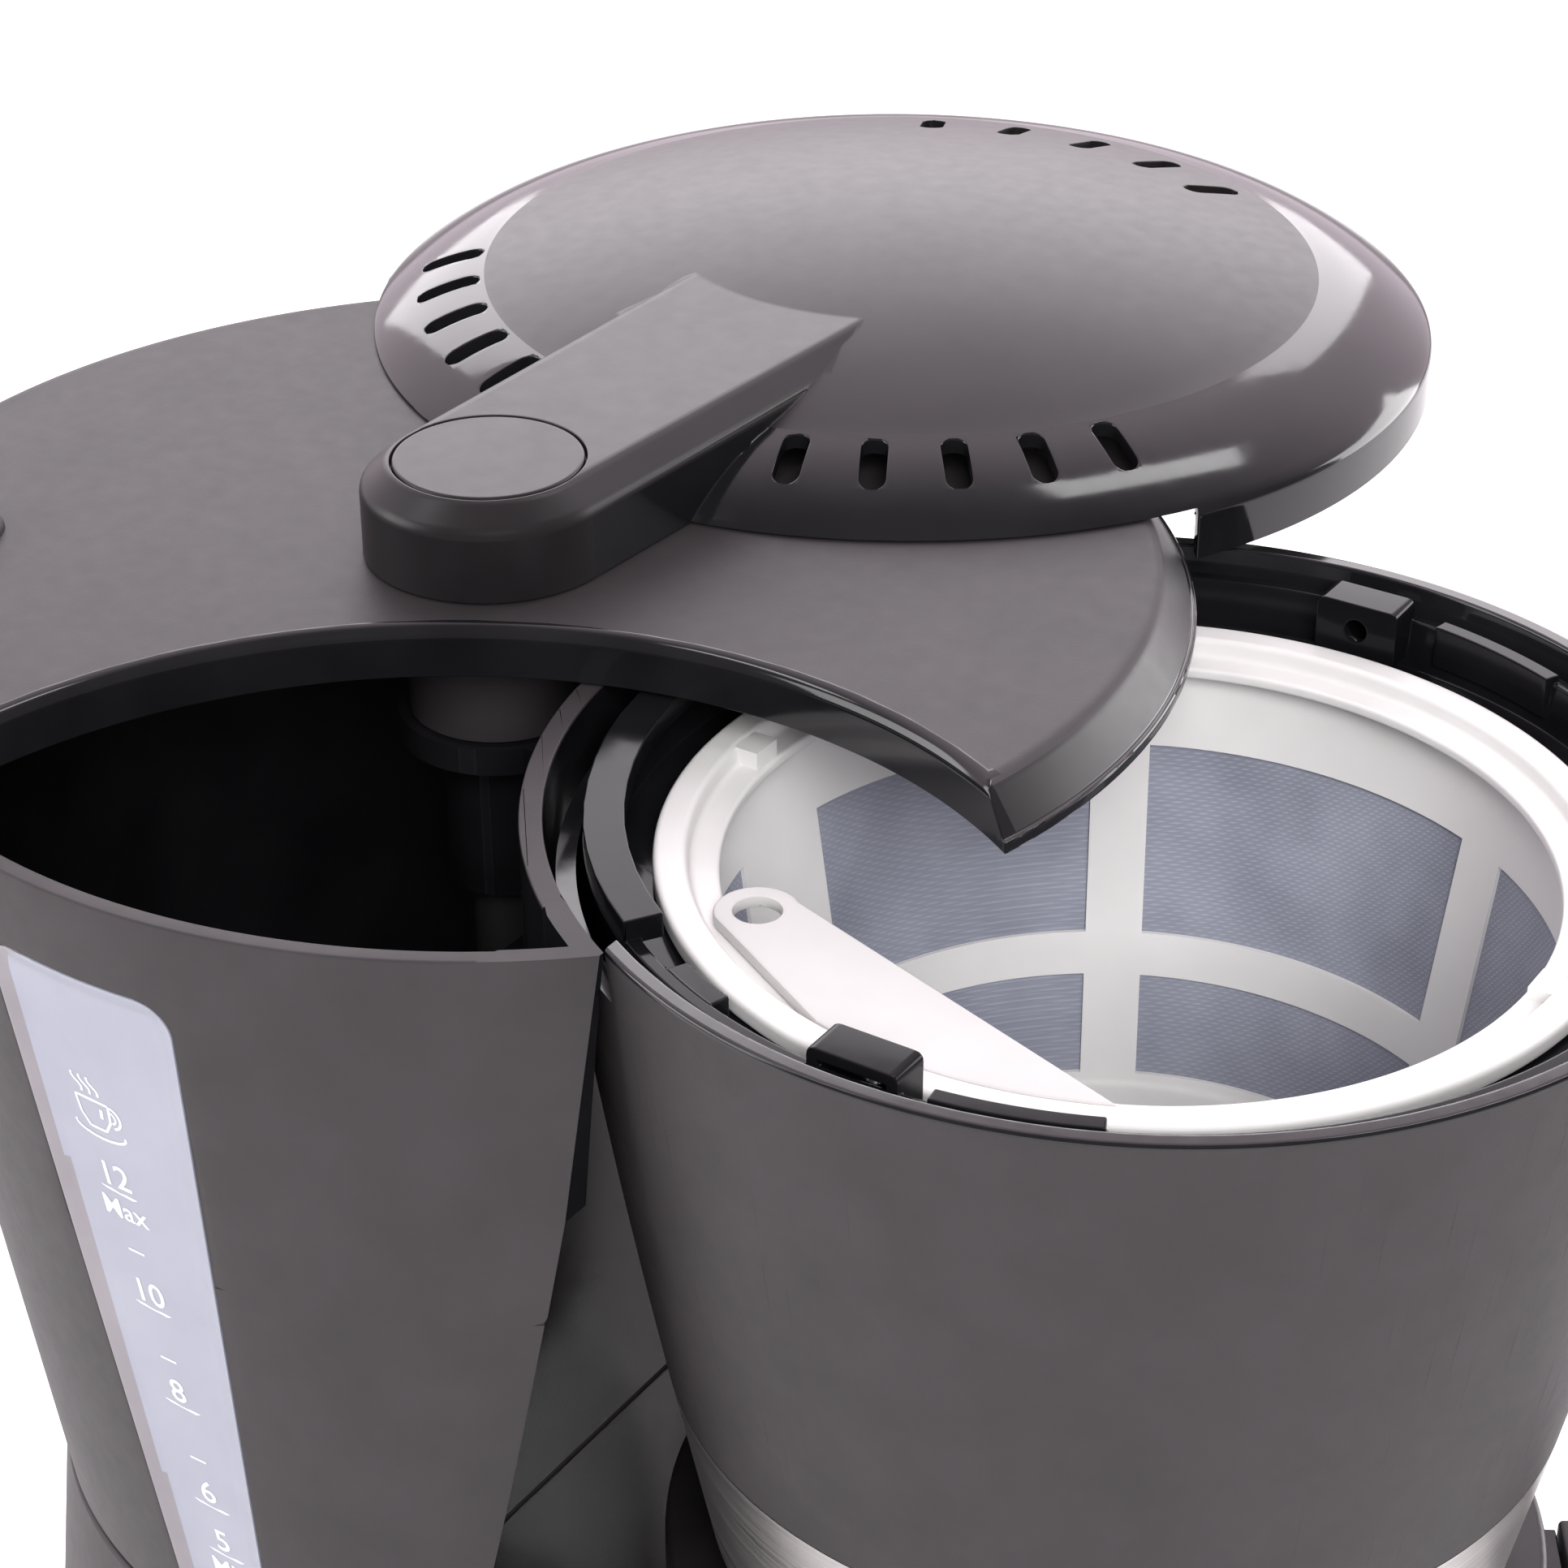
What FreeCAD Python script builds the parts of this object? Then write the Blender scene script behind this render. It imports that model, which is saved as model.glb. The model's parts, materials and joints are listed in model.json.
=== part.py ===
import FreeCAD
import Part
import math
import os

# Drip coffee maker: a round tank, a filter drum in front of it, and a lid and shower arm on one post.
# Millimetres. Z is up, the front is -Y, and the origin lies on the table under the pivot axis.
# The tank lid and the shower arm are drawn swung open.

# Heights above the table
RIM_Z = 304.0
SHELF_Z = 262.0
WAIST_Z = 172.0
TANK_FLOOR_Z = 142.0
BASE_TOP_Z = 46.0
BASE_EDGE_Z = 4.0

# Moulded walls and clearances
WALL = 2.5
COVER_WALL = 2.2
FIT = 0.3
SEAL_FIT = 0.1
RUNNING_FIT = 0.06
SEAM = 1.2

# Plan of the body
DRUM_Y = -100.0
TANK_Y = -3.0
TANK_R = 90.0
TANK_TAPER = 0.13
BASE_FLARE = 0.11
BAY_HALF_WIDTH = 65.0
BAY_BACK_Y = -18.5
BAY_CORNER_R = 9.0
BASE_FRONT_R = 82.0
BASE_FRONT_TAPER = 0.09

# Water window in the left side of the tank, as Y positions of its front and back edges
WINDOW_DROP = 13.0
WINDOW_FOOT = 3.0
WINDOW_TOP_FRONT_Y = -15.7
WINDOW_TOP_BACK_Y = 14.8
WINDOW_FOOT_FRONT_Y = -5.3
WINDOW_FOOT_BACK_Y = 9.9
WINDOW_CORNER_R = 5.0

# Filter drum and the tank wall round it
DRUM_R = 74.0
DRUM_BAND_R = 60.8
DRUM_BAND_DROP = 82.0
DRUM_BELLY = 0.65
BAND_H = 28.0
BAND_TAPER = 0.2
BAND_SHEET = 0.5
DRUM_FOOT = 2.0
RING_WALL = 3.0
RING_CUT = 8.0
RING_CUT_Y = 36.0
DRUM_HOLE_R = 15.0

# Pivot post and the pipe inside it
POST_R = 8.0
POST_TOP = 15.5
POST_DROP = 43.0
BRACKET_DROP = 16.0
BRACKET_T = 4.0
BRACKET_R = 14.0
BRACKET_HALF_WIDTH = 9.0
SADDLE_HALF_WIDTH = 16.0
SADDLE_H = 14.0
SADDLE_T = 3.0
RISER_R = 5.0
RISER_WALL = 1.2
RISER_FOOT_Z = 104.0
RISER_DROP = 2.0
GROMMET_LIP = 2.5

# Tank lid
LID_OPEN = 59.3
LID_FLAT_R = 90.3
LID_EDGE_R = 95.5
LID_TOP = 7.8
LID_LIFT = 0.4
LID_LIP = 1.6
LID_LIP_STEP = 0.7
BITE_R = 76.7
BITE_ROUND = 1.4
LID_HUB_R = 12.5
NUB_POLAR_R = 68.0
NUB_TURN = 178.0
NUB_R = 7.0
NUB_H = 3.0

# Shower arm and its domed cover
ARM_OPEN = 87.8
ARM_LIFT = 0.3
DOME_R = 81.6
DOME_LIP = 1.0
DOME_CREASE_R = 63.3
DOME_CREASE = 16.0
DOME_TOP = 24.0
BAND_BULGE = 1.2
SKIRT_LIFT = 0.5
SKIRT_TOP = 7.6
SKIRT_START_R = 97.5
ARM_TOP = 21.4
ARM_CHAMFER = 3.2
ARM_R = 17.5
ARM_TOP_R = 13.6
ARM_SPREAD = 2.0
ARM_TOP_WALL = 2.8
ARM_REACH = 82.0
CAP_R = 13.0
CAP_T = 1.4
VENT_R = 64.6
VENT_LENGTH = 9.6
VENT_WIDTH = 3.7
VENT_PITCH = 9.5
VENT_COUNT = 5
VENT_GROUPS = (50.0, 130.0, 270.0)
CHANNEL_HALF_WIDTH = 12.0
CHANNEL_FLOOR = 1.8
CHANNEL_WALL = 1.6
CHANNEL_HUB_H = 5.0
SPREADER_R = 24.0
SPRAY_R = 15.0
SPRAY_HOLE_R = 2.2
SPRAY_COUNT = 8
CLIP_R = 10.0
CLIP_T = 1.0

# Filter holder
HOLDER_GAP = 1.8
HOLDER_WALL = 2.0
HOLDER_DROP = 3.0
HOLDER_FUNNEL = 2.0
HOLDER_CHAMFER = 2.0
FLANGE_WIDTH = 5.4
FLANGE_T = 3.0
FLANGE_HALF_ANGLE = 57.0
SEAT_R = 59.0
SEAT_T = 1.6
LUG_WIDTH = 12.0
LUG_DEPTH = 5.5
LUG_H = 8.0
LUG_HOLE_R = 1.6
OUTLET_R = 9.0
OUTLET_WALL = 2.0
OUTLET_H = 3.4

# Permanent filter
FILTER_RIM_R = 60.9
FILTER_DROP = 6.9
FILTER_RIM_T = 2.6
FILTER_TOP_R = 58.2
FILTER_BOTTOM_R = 48.0
FILTER_FLOOR_DROP = 77.0
FILTER_WALL = 1.6
LEDGE_R = 52.5
LEDGE_T = 1.6
PANEL_DROP = 23.0
PANEL_BAR_DROP = 51.5
PANEL_BAR = 6.5
PANEL_FOOT = 3.5
RIB_COUNT = 6
RIB_WIDTH = 8.0
BACK_RIB_WIDTH = 18.0
FLOOR_RING = 7.0
FLOOR_HUB_R = 8.0
MESH_T = 0.4
FLAP_T = 1.8
FLAP_EYE_R = 5.5
FLAP_EYE_HOLE_R = 3.0
FLAP_EYE_POLAR_R = 49.6
FLAP_EYE_ANGLE = 139.0
FLAP_START_ANGLE = 166.0
FLAP_END_ANGLE = 206.0

# Drip stop in the outlet
VALVE_R = 11.5
VALVE_T = 2.0
VALVE_STEM_R = 3.0
VALVE_TIP_DROP = 115.0
VALVE_SEAL_T = 1.6
VALVE_SEAL_R = 8.0
CAGE_R = 14.5
CAGE_WALL = 2.0
CAGE_H = 14.0
CAGE_ROOF = 1.5
CAGE_SLOT = 10.0
CAGE_SLOT_H = 8.0
SPRING_R = 4.6
SPRING_WIRE = 0.9

# Carafe
CARAFE_TURN = 30.0
CARAFE_FOOT_R = 46.0
CARAFE_HEEL_R = 56.0
CARAFE_HEEL = 8.0
CARAFE_BELLY_R = 70.0
CARAFE_BELLY = 46.0
CARAFE_SWELL = 4.0
CARAFE_NECK_R = 58.0
CARAFE_NECK_H = 18.0
GLASS_T = 2.2
COLLAR_H = 13.0
COLLAR_WALL = 3.0
COLLAR_LIP = 2.0
CARAFE_LID_H = 7.0
LID_PLUG_H = 8.0
LID_PLUG_T = 1.8
LID_DISH_R = 40.0
LID_DISH = 2.5
LID_POST_R = 8.0
DRIP_HOLE_R = 2.0
DRIP_HOLE_POLAR_R = 14.0
DRIP_HOLES = 6
HANDLE_REACH = 108.0
HANDLE_FOOT_REACH = 101.0
HANDLE_WIDTH = 14.0
HANDLE_T = 11.0
HANDLE_FOOT = 34.0
HANDLE_ROUND = 22.0

# Warming plate and heater
PLATE_R = 62.0
PLATE_H = 4.0
PLATE_T = 1.4
PLATE_HOLE_R = 57.0
PLATE_SEAL_T = 0.8
HEATER_R = 44.0
HEATER_HALF_WIDTH = 7.0
HEATER_H = 14.0
HEATER_GAP = 22.0
STUB_X = 29.0
STUB_LENGTH = 62.0
STUB_RISE = 1.0
STRAP_T = 2.0
STRAP_HALF_WIDTH = 8.0
STRAP_SCREW_X = 64.0
STRAP_SCREW_LENGTH = 6.0
THERMOSTAT_R = 8.0
THERMOSTAT_H = 8.0
FUSE_R = 2.0
FUSE_LENGTH = 16.0

# Hoses and the tank outlet
HOSE_WALL = 1.8
HOSE_BEND = 18.0
OUTLET_Y = 24.0
SPOUT_H = 14.0
RISER_OVERLAP = 13.0
HOT_HOSE_KNEE_Z = 88.0
STRAINER_R = 8.5
STRAINER_H = 7.0
STRAINER_SLOT = 1.6

# Base plate, feet, fasteners and switch
FLOOR_T = 2.5
FOOT_R = 9.0
FOOT_PEG_R = 3.0
FOOT_PEG_H = 2.0
FOOT_INSET = 20.0
FOOT_BACK_ANGLE = 25.0
FOOT_FRONT_ANGLE = 230.0
SCREW_R = 1.8
SCREW_HEAD_R = 3.8
SCREW_HEAD_H = 1.8
SCREW_LENGTH = 12.0
BOSS_R = 5.0
BOSS_FRONT_X = 60.0
BOSS_FRONT_Y = -128.0
BOSS_BACK_ANGLE = 45.0
SWITCH_WIDTH = 22.0
SWITCH_HEIGHT = 16.0
SWITCH_Z = 25.0
SWITCH_WALL = 1.5
SWITCH_BEZEL = 3.0
SWITCH_BEZEL_T = 1.5
SWITCH_DEPTH = 9.0
SWITCH_BODY_DEPTH = 13.0
ROCKER_INSET = 1.5
ROCKER_FACE = 4.2
ROCKER_TILT = 8.0
TERMINAL_WIDTH = 26.0
TERMINAL_DEPTH = 14.0
TERMINAL_H = 12.0
TERMINAL_SETBACK = 40.0
CORD_BORE_R = 4.0
CORD_SHANK_R = 6.2
CORD_FLANGE_R = 8.6
CORD_FLANGE_T = 2.0
CORD_SHANK = 8.0
CORD_Z = 20.0

# Larger than the whole object, for cuts that run right through
BIG = 400.0


def vec(x, y, z=0.0):
    return FreeCAD.Vector(x, y, z)


def polar(radius, angle):
    return radius * math.cos(math.radians(angle)), radius * math.sin(math.radians(angle))


def cylinder(radius, low, high, x=0.0, y=0.0):
    return Part.makeCylinder(radius, high - low, vec(x, y, low))


def tube(outer, inner, low, high, x=0.0, y=0.0):
    return cylinder(outer, low, high, x, y).cut(cylinder(inner, low - 1, high + 1, x, y))


def cone(low_r, high_r, low, high, x=0.0, y=0.0):
    return Part.makeCone(low_r, high_r, high - low, vec(x, y, low))


def box(x0, x1, y0, y1, z0, z1):
    return Part.makeBox(x1 - x0, y1 - y0, z1 - z0, vec(x0, y0, z0))


def along_x(radius, x0, x1, y, z):
    return Part.makeCylinder(radius, x1 - x0, vec(x0, y, z), vec(1, 0, 0))


def along_y(radius, y0, y1, x, z):
    return Part.makeCylinder(radius, y1 - y0, vec(x, y0, z), vec(0, 1, 0))


def fuse(first, *others):
    return first.multiFuse(list(others)).removeSplitter()


def cut(first, *others):
    for other in others:
        first = first.cut(other)
    return first


def turned(shape, angle, x=0.0, y=0.0):
    copy = shape.copy()
    copy.rotate(vec(x, y), vec(0, 0, 1), angle)
    return copy


def moved(shape, x, y, z=0.0):
    copy = shape.copy()
    copy.translate(vec(x, y, z))
    return copy


def outline(points):
    """Closed wire. A point is (a, b), or (a, b, mid_a, mid_b) to arrive on an arc through the middle."""
    edges = []
    for start, end in zip(points, points[1:] + points[:1]):
        first = vec(*start[:2])
        last = vec(*end[:2])
        if len(end) == 4:
            edges.append(Part.Arc(first, vec(*end[2:]), last).toShape())
        else:
            edges.append(Part.LineSegment(first, last).toShape())
    return Part.Wire(edges)


def extrude(points, low, high):
    wire = outline(points)
    wire.translate(vec(0, 0, low))
    return Part.Face(wire).extrude(vec(0, 0, high - low))


def upright(points):
    """Face of (across, height) points, standing in the XZ plane."""
    wire = outline(points)
    wire.rotate(vec(0, 0), vec(1, 0), 90)
    return Part.Face(wire)


def revolve(points, x=0.0, y=0.0):
    """Turn (radius, height) points about the vertical axis at x, y."""
    face = upright(points)
    face.translate(vec(x, y))
    return face.revolve(vec(x, y), vec(0, 0, 1), 360)


def middle(a, b, bulge):
    """Middle of an arc from a to b that bulges to the right of that direction."""
    run = math.hypot(b[0] - a[0], b[1] - a[1])
    across = ((b[1] - a[1]) / run * bulge, (a[0] - b[0]) / run * bulge)
    return (a[0] + b[0]) / 2 + across[0], (a[1] + b[1]) / 2 + across[1]


def rounded_path(points, radius):
    """Straight runs joined by tangent arcs of one radius."""
    edges = []
    start = points[0]
    for before, corner, after in zip(points, points[1:], points[2:]):
        into = (corner - before).normalize()
        out = (after - corner).normalize()
        half = into.getAngle(out) / 2
        first = corner - into * (radius * math.tan(half))
        last = corner + out * (radius * math.tan(half))
        inward = (out - into).normalize()
        bend = corner + inward * (radius / math.cos(half) - radius)
        edges.append(Part.LineSegment(start, first).toShape())
        edges.append(Part.Arc(first, bend, last).toShape())
        start = last
    edges.append(Part.LineSegment(start, points[-1]).toShape())
    return Part.Wire(edges)


def hose(points):
    """Soft hose, pushed over a stub of the riser's size at each end."""
    path = rounded_path(points, HOSE_BEND)
    bore = RISER_R + SEAL_FIT
    solids = []
    for radius in (bore + HOSE_WALL, bore):
        ring = Part.Wire(Part.makeCircle(radius, points[0], points[1] - points[0]))
        solids.append(path.makePipeShell([ring], True, False))
    return solids[0].cut(solids[1])


def tank_radius(z):
    return TANK_R - TANK_TAPER * (RIM_Z - z)


def column_radius(z):
    return tank_radius(WAIST_Z) + BASE_FLARE * (WAIST_Z - z)


def base_front_radius(z):
    return BASE_FRONT_R - BASE_FRONT_TAPER * (z - BASE_EDGE_Z)


# Places that follow from the sizes above
HOT_Z = BASE_TOP_Z + PLATE_H
HEATER_TOP_Z = HOT_Z - PLATE_T
STRAP_Z = HEATER_TOP_Z - HEATER_H
STUB_Z = STRAP_Z + STUB_RISE
HOSE_END_Y = DRUM_Y + HEATER_R + HEATER_HALF_WIDTH + FIT
RING_R = DRUM_R + FIT
RING_BACK_R = RING_R + RING_WALL
SPIGOT_R = tank_radius(WAIST_Z) - WALL - FIT
BAND_Z = RIM_Z - DRUM_BAND_DROP
BAND_FOOT_Z = BAND_Z - BAND_H
BAND_FOOT_R = DRUM_BAND_R - BAND_TAPER * BAND_H
BAND_RECESS = BAND_SHEET + SEAL_FIT
DRUM_FOOT_Z = BAND_FOOT_Z - DRUM_FOOT
BRACKET_Z = RIM_Z - BRACKET_DROP
LID_Z = RIM_Z + LID_TOP
ARM_Z = LID_Z + ARM_LIFT
ARM_TOP_Z = RIM_Z + ARM_TOP
ARM_SHOULDER_Z = ARM_TOP_Z - ARM_CHAMFER
HOLDER_Z = DRUM_FOOT_Z + WALL + FIT
HOLDER_FLOOR_Z = HOLDER_Z + HOLDER_WALL
FILTER_RIM_Z = RIM_Z - FILTER_DROP
LEDGE_Z = FILTER_RIM_Z - FILTER_RIM_T
FILTER_FLOOR_Z = RIM_Z - FILTER_FLOOR_DROP
VALVE_Z = HOLDER_FLOOR_Z + FIT + VALVE_SEAL_T
CAGE_Z = HOLDER_FLOOR_Z + FIT
VALVE_TIP_Z = RIM_Z - VALVE_TIP_DROP
CARAFE_Z = HOT_Z + FIT
CARAFE_LID_Z = VALVE_TIP_Z - FIT
COLLAR_TOP_Z = CARAFE_LID_Z - CARAFE_LID_H
COLLAR_LOW_Z = COLLAR_TOP_Z - COLLAR_H
COLLAR_SCREW_Z = COLLAR_TOP_Z - COLLAR_H / 2
COLLAR_R = CARAFE_NECK_R + FIT + COLLAR_WALL
COLLAR_LUG_R = COLLAR_R + COLLAR_WALL
GLASS_TOP_Z = COLLAR_TOP_Z - COLLAR_LIP
SWITCH_FACE_Y = DRUM_Y - BASE_FRONT_R
SWITCH_BACK_Y = SWITCH_FACE_Y + SWITCH_DEPTH
ROCKER_R = SWITCH_HEIGHT / 2 - SWITCH_WALL - FIT
ROCKER_Y = SWITCH_FACE_Y + ROCKER_INSET
CORD_FACE_Y = TANK_Y + column_radius(BASE_EDGE_Z)
FLOOR_Z = BASE_EDGE_Z + FLOOR_T
DECK_Z = BASE_TOP_Z - WALL
TERMINAL_Y = CORD_FACE_Y - TERMINAL_SETBACK


def bay(grow, low, high):
    """The straight-sided bay in front of the column, where the drum and the carafe go."""
    half = BAY_HALF_WIDTH + grow
    back = BAY_BACK_Y + grow
    corner = BAY_CORNER_R + grow
    arc = corner * (1 - math.sqrt(0.5))
    points = [
        (-half, -BIG),
        (half, -BIG),
        (half, back - corner),
        (half - corner, back, half - arc, back - arc),
        (corner - half, back),
        (-half, back - corner, arc - half, back - arc),
    ]
    return extrude(points, low, high)


def window_prism(shrink):
    """The window's outline, pushed out through the left wall."""
    top = RIM_Z - WINDOW_DROP - shrink
    foot = WAIST_Z + WINDOW_FOOT + shrink
    front = WINDOW_TOP_FRONT_Y + shrink
    back = WINDOW_TOP_BACK_Y - shrink
    arc = WINDOW_CORNER_R * (1 - math.sqrt(0.5))
    points = [
        (WINDOW_FOOT_FRONT_Y + shrink, foot),
        (WINDOW_FOOT_BACK_Y - shrink, foot),
        (back, top - WINDOW_CORNER_R),
        (back - WINDOW_CORNER_R, top, back - arc, top - arc),
        (front + WINDOW_CORNER_R, top),
        (front, top - WINDOW_CORNER_R, front + arc, top - arc),
    ]
    face = turned(upright(points), 90)
    return face.extrude(vec(-BIG, 0, 0))


def tank_body():
    """Tapered tank with a spigot below the waist; its front wall is the ring that holds the drum."""
    step_z = WAIST_Z + WALL
    upper = cone(tank_radius(WAIST_Z), TANK_R, WAIST_Z, RIM_Z, 0, TANK_Y)
    upper = cut(
        upper,
        bay(0, WAIST_Z - 1, SHELF_Z),
        cylinder(RING_R, SHELF_Z - 1, RIM_Z + 1, 0, DRUM_Y),
    )
    spigot = cylinder(SPIGOT_R, TANK_FLOOR_Z, step_z, 0, TANK_Y)
    spigot = spigot.cut(bay(WALL + FIT, TANK_FLOOR_Z - 1, step_z + 1))
    spout = cylinder(RISER_R, TANK_FLOOR_Z - SPOUT_H, TANK_FLOOR_Z + 1, -STUB_X, OUTLET_Y)
    water = cone(tank_radius(step_z) - WALL, TANK_R - WALL, step_z, RIM_Z, 0, TANK_Y)
    water = cut(
        water,
        bay(WALL, step_z - 1, SHELF_Z + WALL),
        cylinder(RING_BACK_R, SHELF_Z, RIM_Z + 1, 0, DRUM_Y),
    )
    sump = cylinder(SPIGOT_R - WALL, TANK_FLOOR_Z + WALL, step_z + 1, 0, TANK_Y)
    sump = sump.cut(bay(2 * WALL + FIT, TANK_FLOOR_Z, step_z + 2))
    bore = cylinder(RISER_R - RISER_WALL, 0, step_z, -STUB_X, OUTLET_Y)
    riser_hole = cylinder(RISER_R + GROMMET_LIP + SEAL_FIT, 0, step_z)
    return cut(fuse(upper, spigot, spout), water, sump, bore, riser_hole, window_prism(0))


def water_window():
    """Clear pane in the left wall, flush with the tank's taper."""
    outer = cone(tank_radius(WAIST_Z), TANK_R, WAIST_Z, RIM_Z, 0, TANK_Y)
    inner = cone(tank_radius(WAIST_Z) - WALL, TANK_R - WALL, WAIST_Z, RIM_Z, 0, TANK_Y)
    return outer.cut(inner).common(window_prism(SEAL_FIT))


def pivot_bracket():
    """Hollow post for the lid and the arm, with a shelf and a saddle on the tank's front wall."""
    reach = RING_BACK_R + SEAL_FIT
    low = BRACKET_Z - BRACKET_T
    shelf = fuse(
        cylinder(BRACKET_R, low, BRACKET_Z),
        box(-BRACKET_HALF_WIDTH, BRACKET_HALF_WIDTH, DRUM_Y + DRUM_R, 0, low, BRACKET_Z),
    )
    shelf = shelf.cut(cylinder(reach, 0, RIM_Z, 0, DRUM_Y))
    saddle = tube(reach + SADDLE_T, reach, BRACKET_Z - SADDLE_H, BRACKET_Z, 0, DRUM_Y)
    saddle = saddle.common(box(-SADDLE_HALF_WIDTH, SADDLE_HALF_WIDTH, DRUM_Y, 0, 0, RIM_Z))
    post = cylinder(POST_R, RIM_Z - POST_DROP, RIM_Z + POST_TOP)
    bore = cylinder(RISER_R + SEAL_FIT, 0, RIM_Z + POST_TOP + 1)
    return fuse(shelf, saddle, post).cut(bore)


def riser_pipe():
    """Pipe that carries the hot water from the base up into the post."""
    return tube(RISER_R, RISER_R - RISER_WALL, RISER_FOOT_Z, RIM_Z - RISER_DROP)


def riser_grommet():
    """Rubber seal where the riser passes the tank floor."""
    bore = RISER_R + SEAL_FIT
    shank = RISER_R + GROMMET_LIP
    lip = shank + GROMMET_LIP
    low = TANK_FLOOR_Z - SEAL_FIT
    high = TANK_FLOOR_Z + WALL + SEAL_FIT
    return revolve([
        (bore, low - GROMMET_LIP),
        (lip, low - GROMMET_LIP),
        (lip, low),
        (shank, low),
        (shank, high),
        (lip, high),
        (lip, high + GROMMET_LIP),
        (bore, high + GROMMET_LIP),
    ])


def outlet_strainer():
    """Slotted cap over the tank outlet."""
    low = TANK_FLOOR_Z + WALL
    high = low + STRAINER_H
    reach = STRAINER_R + 1
    half = STRAINER_SLOT / 2
    cap = cylinder(STRAINER_R, low, high)
    cap = cap.cut(cylinder(STRAINER_R - RISER_WALL, low - 1, high - RISER_WALL))
    slot = box(-reach, reach, -half, half, low + RISER_WALL, high - 2 * RISER_WALL)
    cap = cut(cap, slot, turned(slot, 60), turned(slot, 120))
    return moved(cap, -STUB_X, OUTLET_Y)


def cold_hose():
    """From the tank outlet down to the heater."""
    return hose([
        vec(-STUB_X, OUTLET_Y, TANK_FLOOR_Z - SEAL_FIT),
        vec(-STUB_X, OUTLET_Y, STUB_Z),
        vec(-STUB_X, HOSE_END_Y, STUB_Z),
    ])


def hot_hose():
    """From the heater up to the riser."""
    return hose([
        vec(STUB_X, HOSE_END_Y, STUB_Z),
        vec(STUB_X, 0, STUB_Z),
        vec(0, 0, HOT_HOSE_KNEE_Z),
        vec(0, 0, RISER_FOOT_Z + RISER_OVERLAP),
    ])


def on_bite_edge(edge):
    """Whether an edge is the top edge of the lid's bite."""
    if not isinstance(edge.Curve, Part.Circle):
        return False
    centre = edge.Curve.Center
    return abs(centre.y - DRUM_Y) < FIT and abs(centre.z - LID_Z) < FIT


def finger_nub():
    """Low round nub on the lid, for the finger that turns it."""
    ball = (NUB_R ** 2 + NUB_H ** 2) / (2 * NUB_H)
    x, y = polar(NUB_POLAR_R, NUB_TURN)
    nub = Part.makeSphere(ball, vec(x, y, LID_Z + NUB_H - ball))
    return nub.common(cylinder(BIG, LID_Z - COVER_WALL / 2, RIM_Z + BIG))


def tank_lid():
    """Half-moon lid: a shallow dished disc on the post, bitten out round the drum."""
    low = RIM_Z + LID_LIFT
    lip = low + LID_LIP
    disc = revolve([
        (0, low),
        (LID_EDGE_R, low),
        (LID_EDGE_R, lip),
        (LID_EDGE_R - LID_LIP_STEP, lip),
        (LID_FLAT_R, LID_Z),
        (0, LID_Z),
    ])
    inside = revolve([
        (0, low - 1),
        (LID_EDGE_R - COVER_WALL, low - 1),
        (LID_EDGE_R - COVER_WALL, lip),
        (LID_FLAT_R - COVER_WALL / 2, LID_Z - COVER_WALL),
        (0, LID_Z - COVER_WALL),
    ])
    inside = inside.cut(cylinder(BITE_R + COVER_WALL, low - 2, LID_Z, 0, DRUM_Y))
    lid = disc.cut(cylinder(BITE_R, low - 1, LID_Z + 1, 0, DRUM_Y))
    edges = [edge for edge in lid.Edges if on_bite_edge(edge)]
    lid = lid.makeFillet(BITE_ROUND, edges).cut(inside)
    hub = cylinder(LID_HUB_R, BRACKET_Z + FIT, LID_Z - COVER_WALL / 2)
    bore = cylinder(POST_R + RUNNING_FIT, 0, LID_Z + 1)
    return turned(fuse(lid, hub, finger_nub()).cut(bore), -LID_OPEN)


def dome_profile(inset, foot):
    """Half section of the domed cover: skirt, sloping band and shallow spherical top."""
    lip = (DOME_R - DOME_LIP - inset, RIM_Z + SKIRT_TOP + DOME_LIP - inset / 2)
    crease = (DOME_CREASE_R - inset / 2, RIM_Z + DOME_CREASE - inset)
    top = (0, RIM_Z + DOME_TOP - inset)
    rise = top[1] - crease[1]
    sphere = (crease[0] ** 2 + rise ** 2) / (2 * rise)
    half = crease[0] / 2
    return [
        (0, foot),
        (DOME_R - inset, foot),
        (DOME_R - inset, RIM_Z + SKIRT_TOP - inset / 2),
        lip,
        (*crease, *middle(lip, crease, BAND_BULGE)),
        (*top, half, top[1] - sphere + math.sqrt(sphere ** 2 - half ** 2)),
    ]


def arm_wire(z, radius):
    wire = outline([
        (radius, 0),
        (-radius, 0, 0, radius),
        (-radius - ARM_SPREAD, -ARM_REACH),
        (radius + ARM_SPREAD, -ARM_REACH),
    ])
    wire.translate(vec(0, 0, z))
    return wire


def arm_solid(low, shoulder, top, inset):
    """Flat-topped arm with sloping shoulders, round at the pivot."""
    wires = [
        arm_wire(low, ARM_R - inset),
        arm_wire(shoulder, ARM_R - inset),
        arm_wire(top, ARM_TOP_R - inset),
    ]
    return Part.makeLoft(wires, True, True)


def vent_slots():
    """Groups of round-ended slots through the sloping band, radial about the dome."""
    half = VENT_WIDTH / 2
    near = VENT_R + half
    far = VENT_R + VENT_LENGTH - half
    low = RIM_Z
    high = RIM_Z + DOME_TOP
    slot = box(near, far, -half, half, low, high)
    slot = fuse(slot, cylinder(half, low, high, near), cylinder(half, low, high, far))
    first = -VENT_PITCH * (VENT_COUNT - 1) / 2
    angles = [group + first + VENT_PITCH * i for group in VENT_GROUPS for i in range(VENT_COUNT)]
    return [moved(turned(slot, angle), 0, DRUM_Y) for angle in angles]


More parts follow.
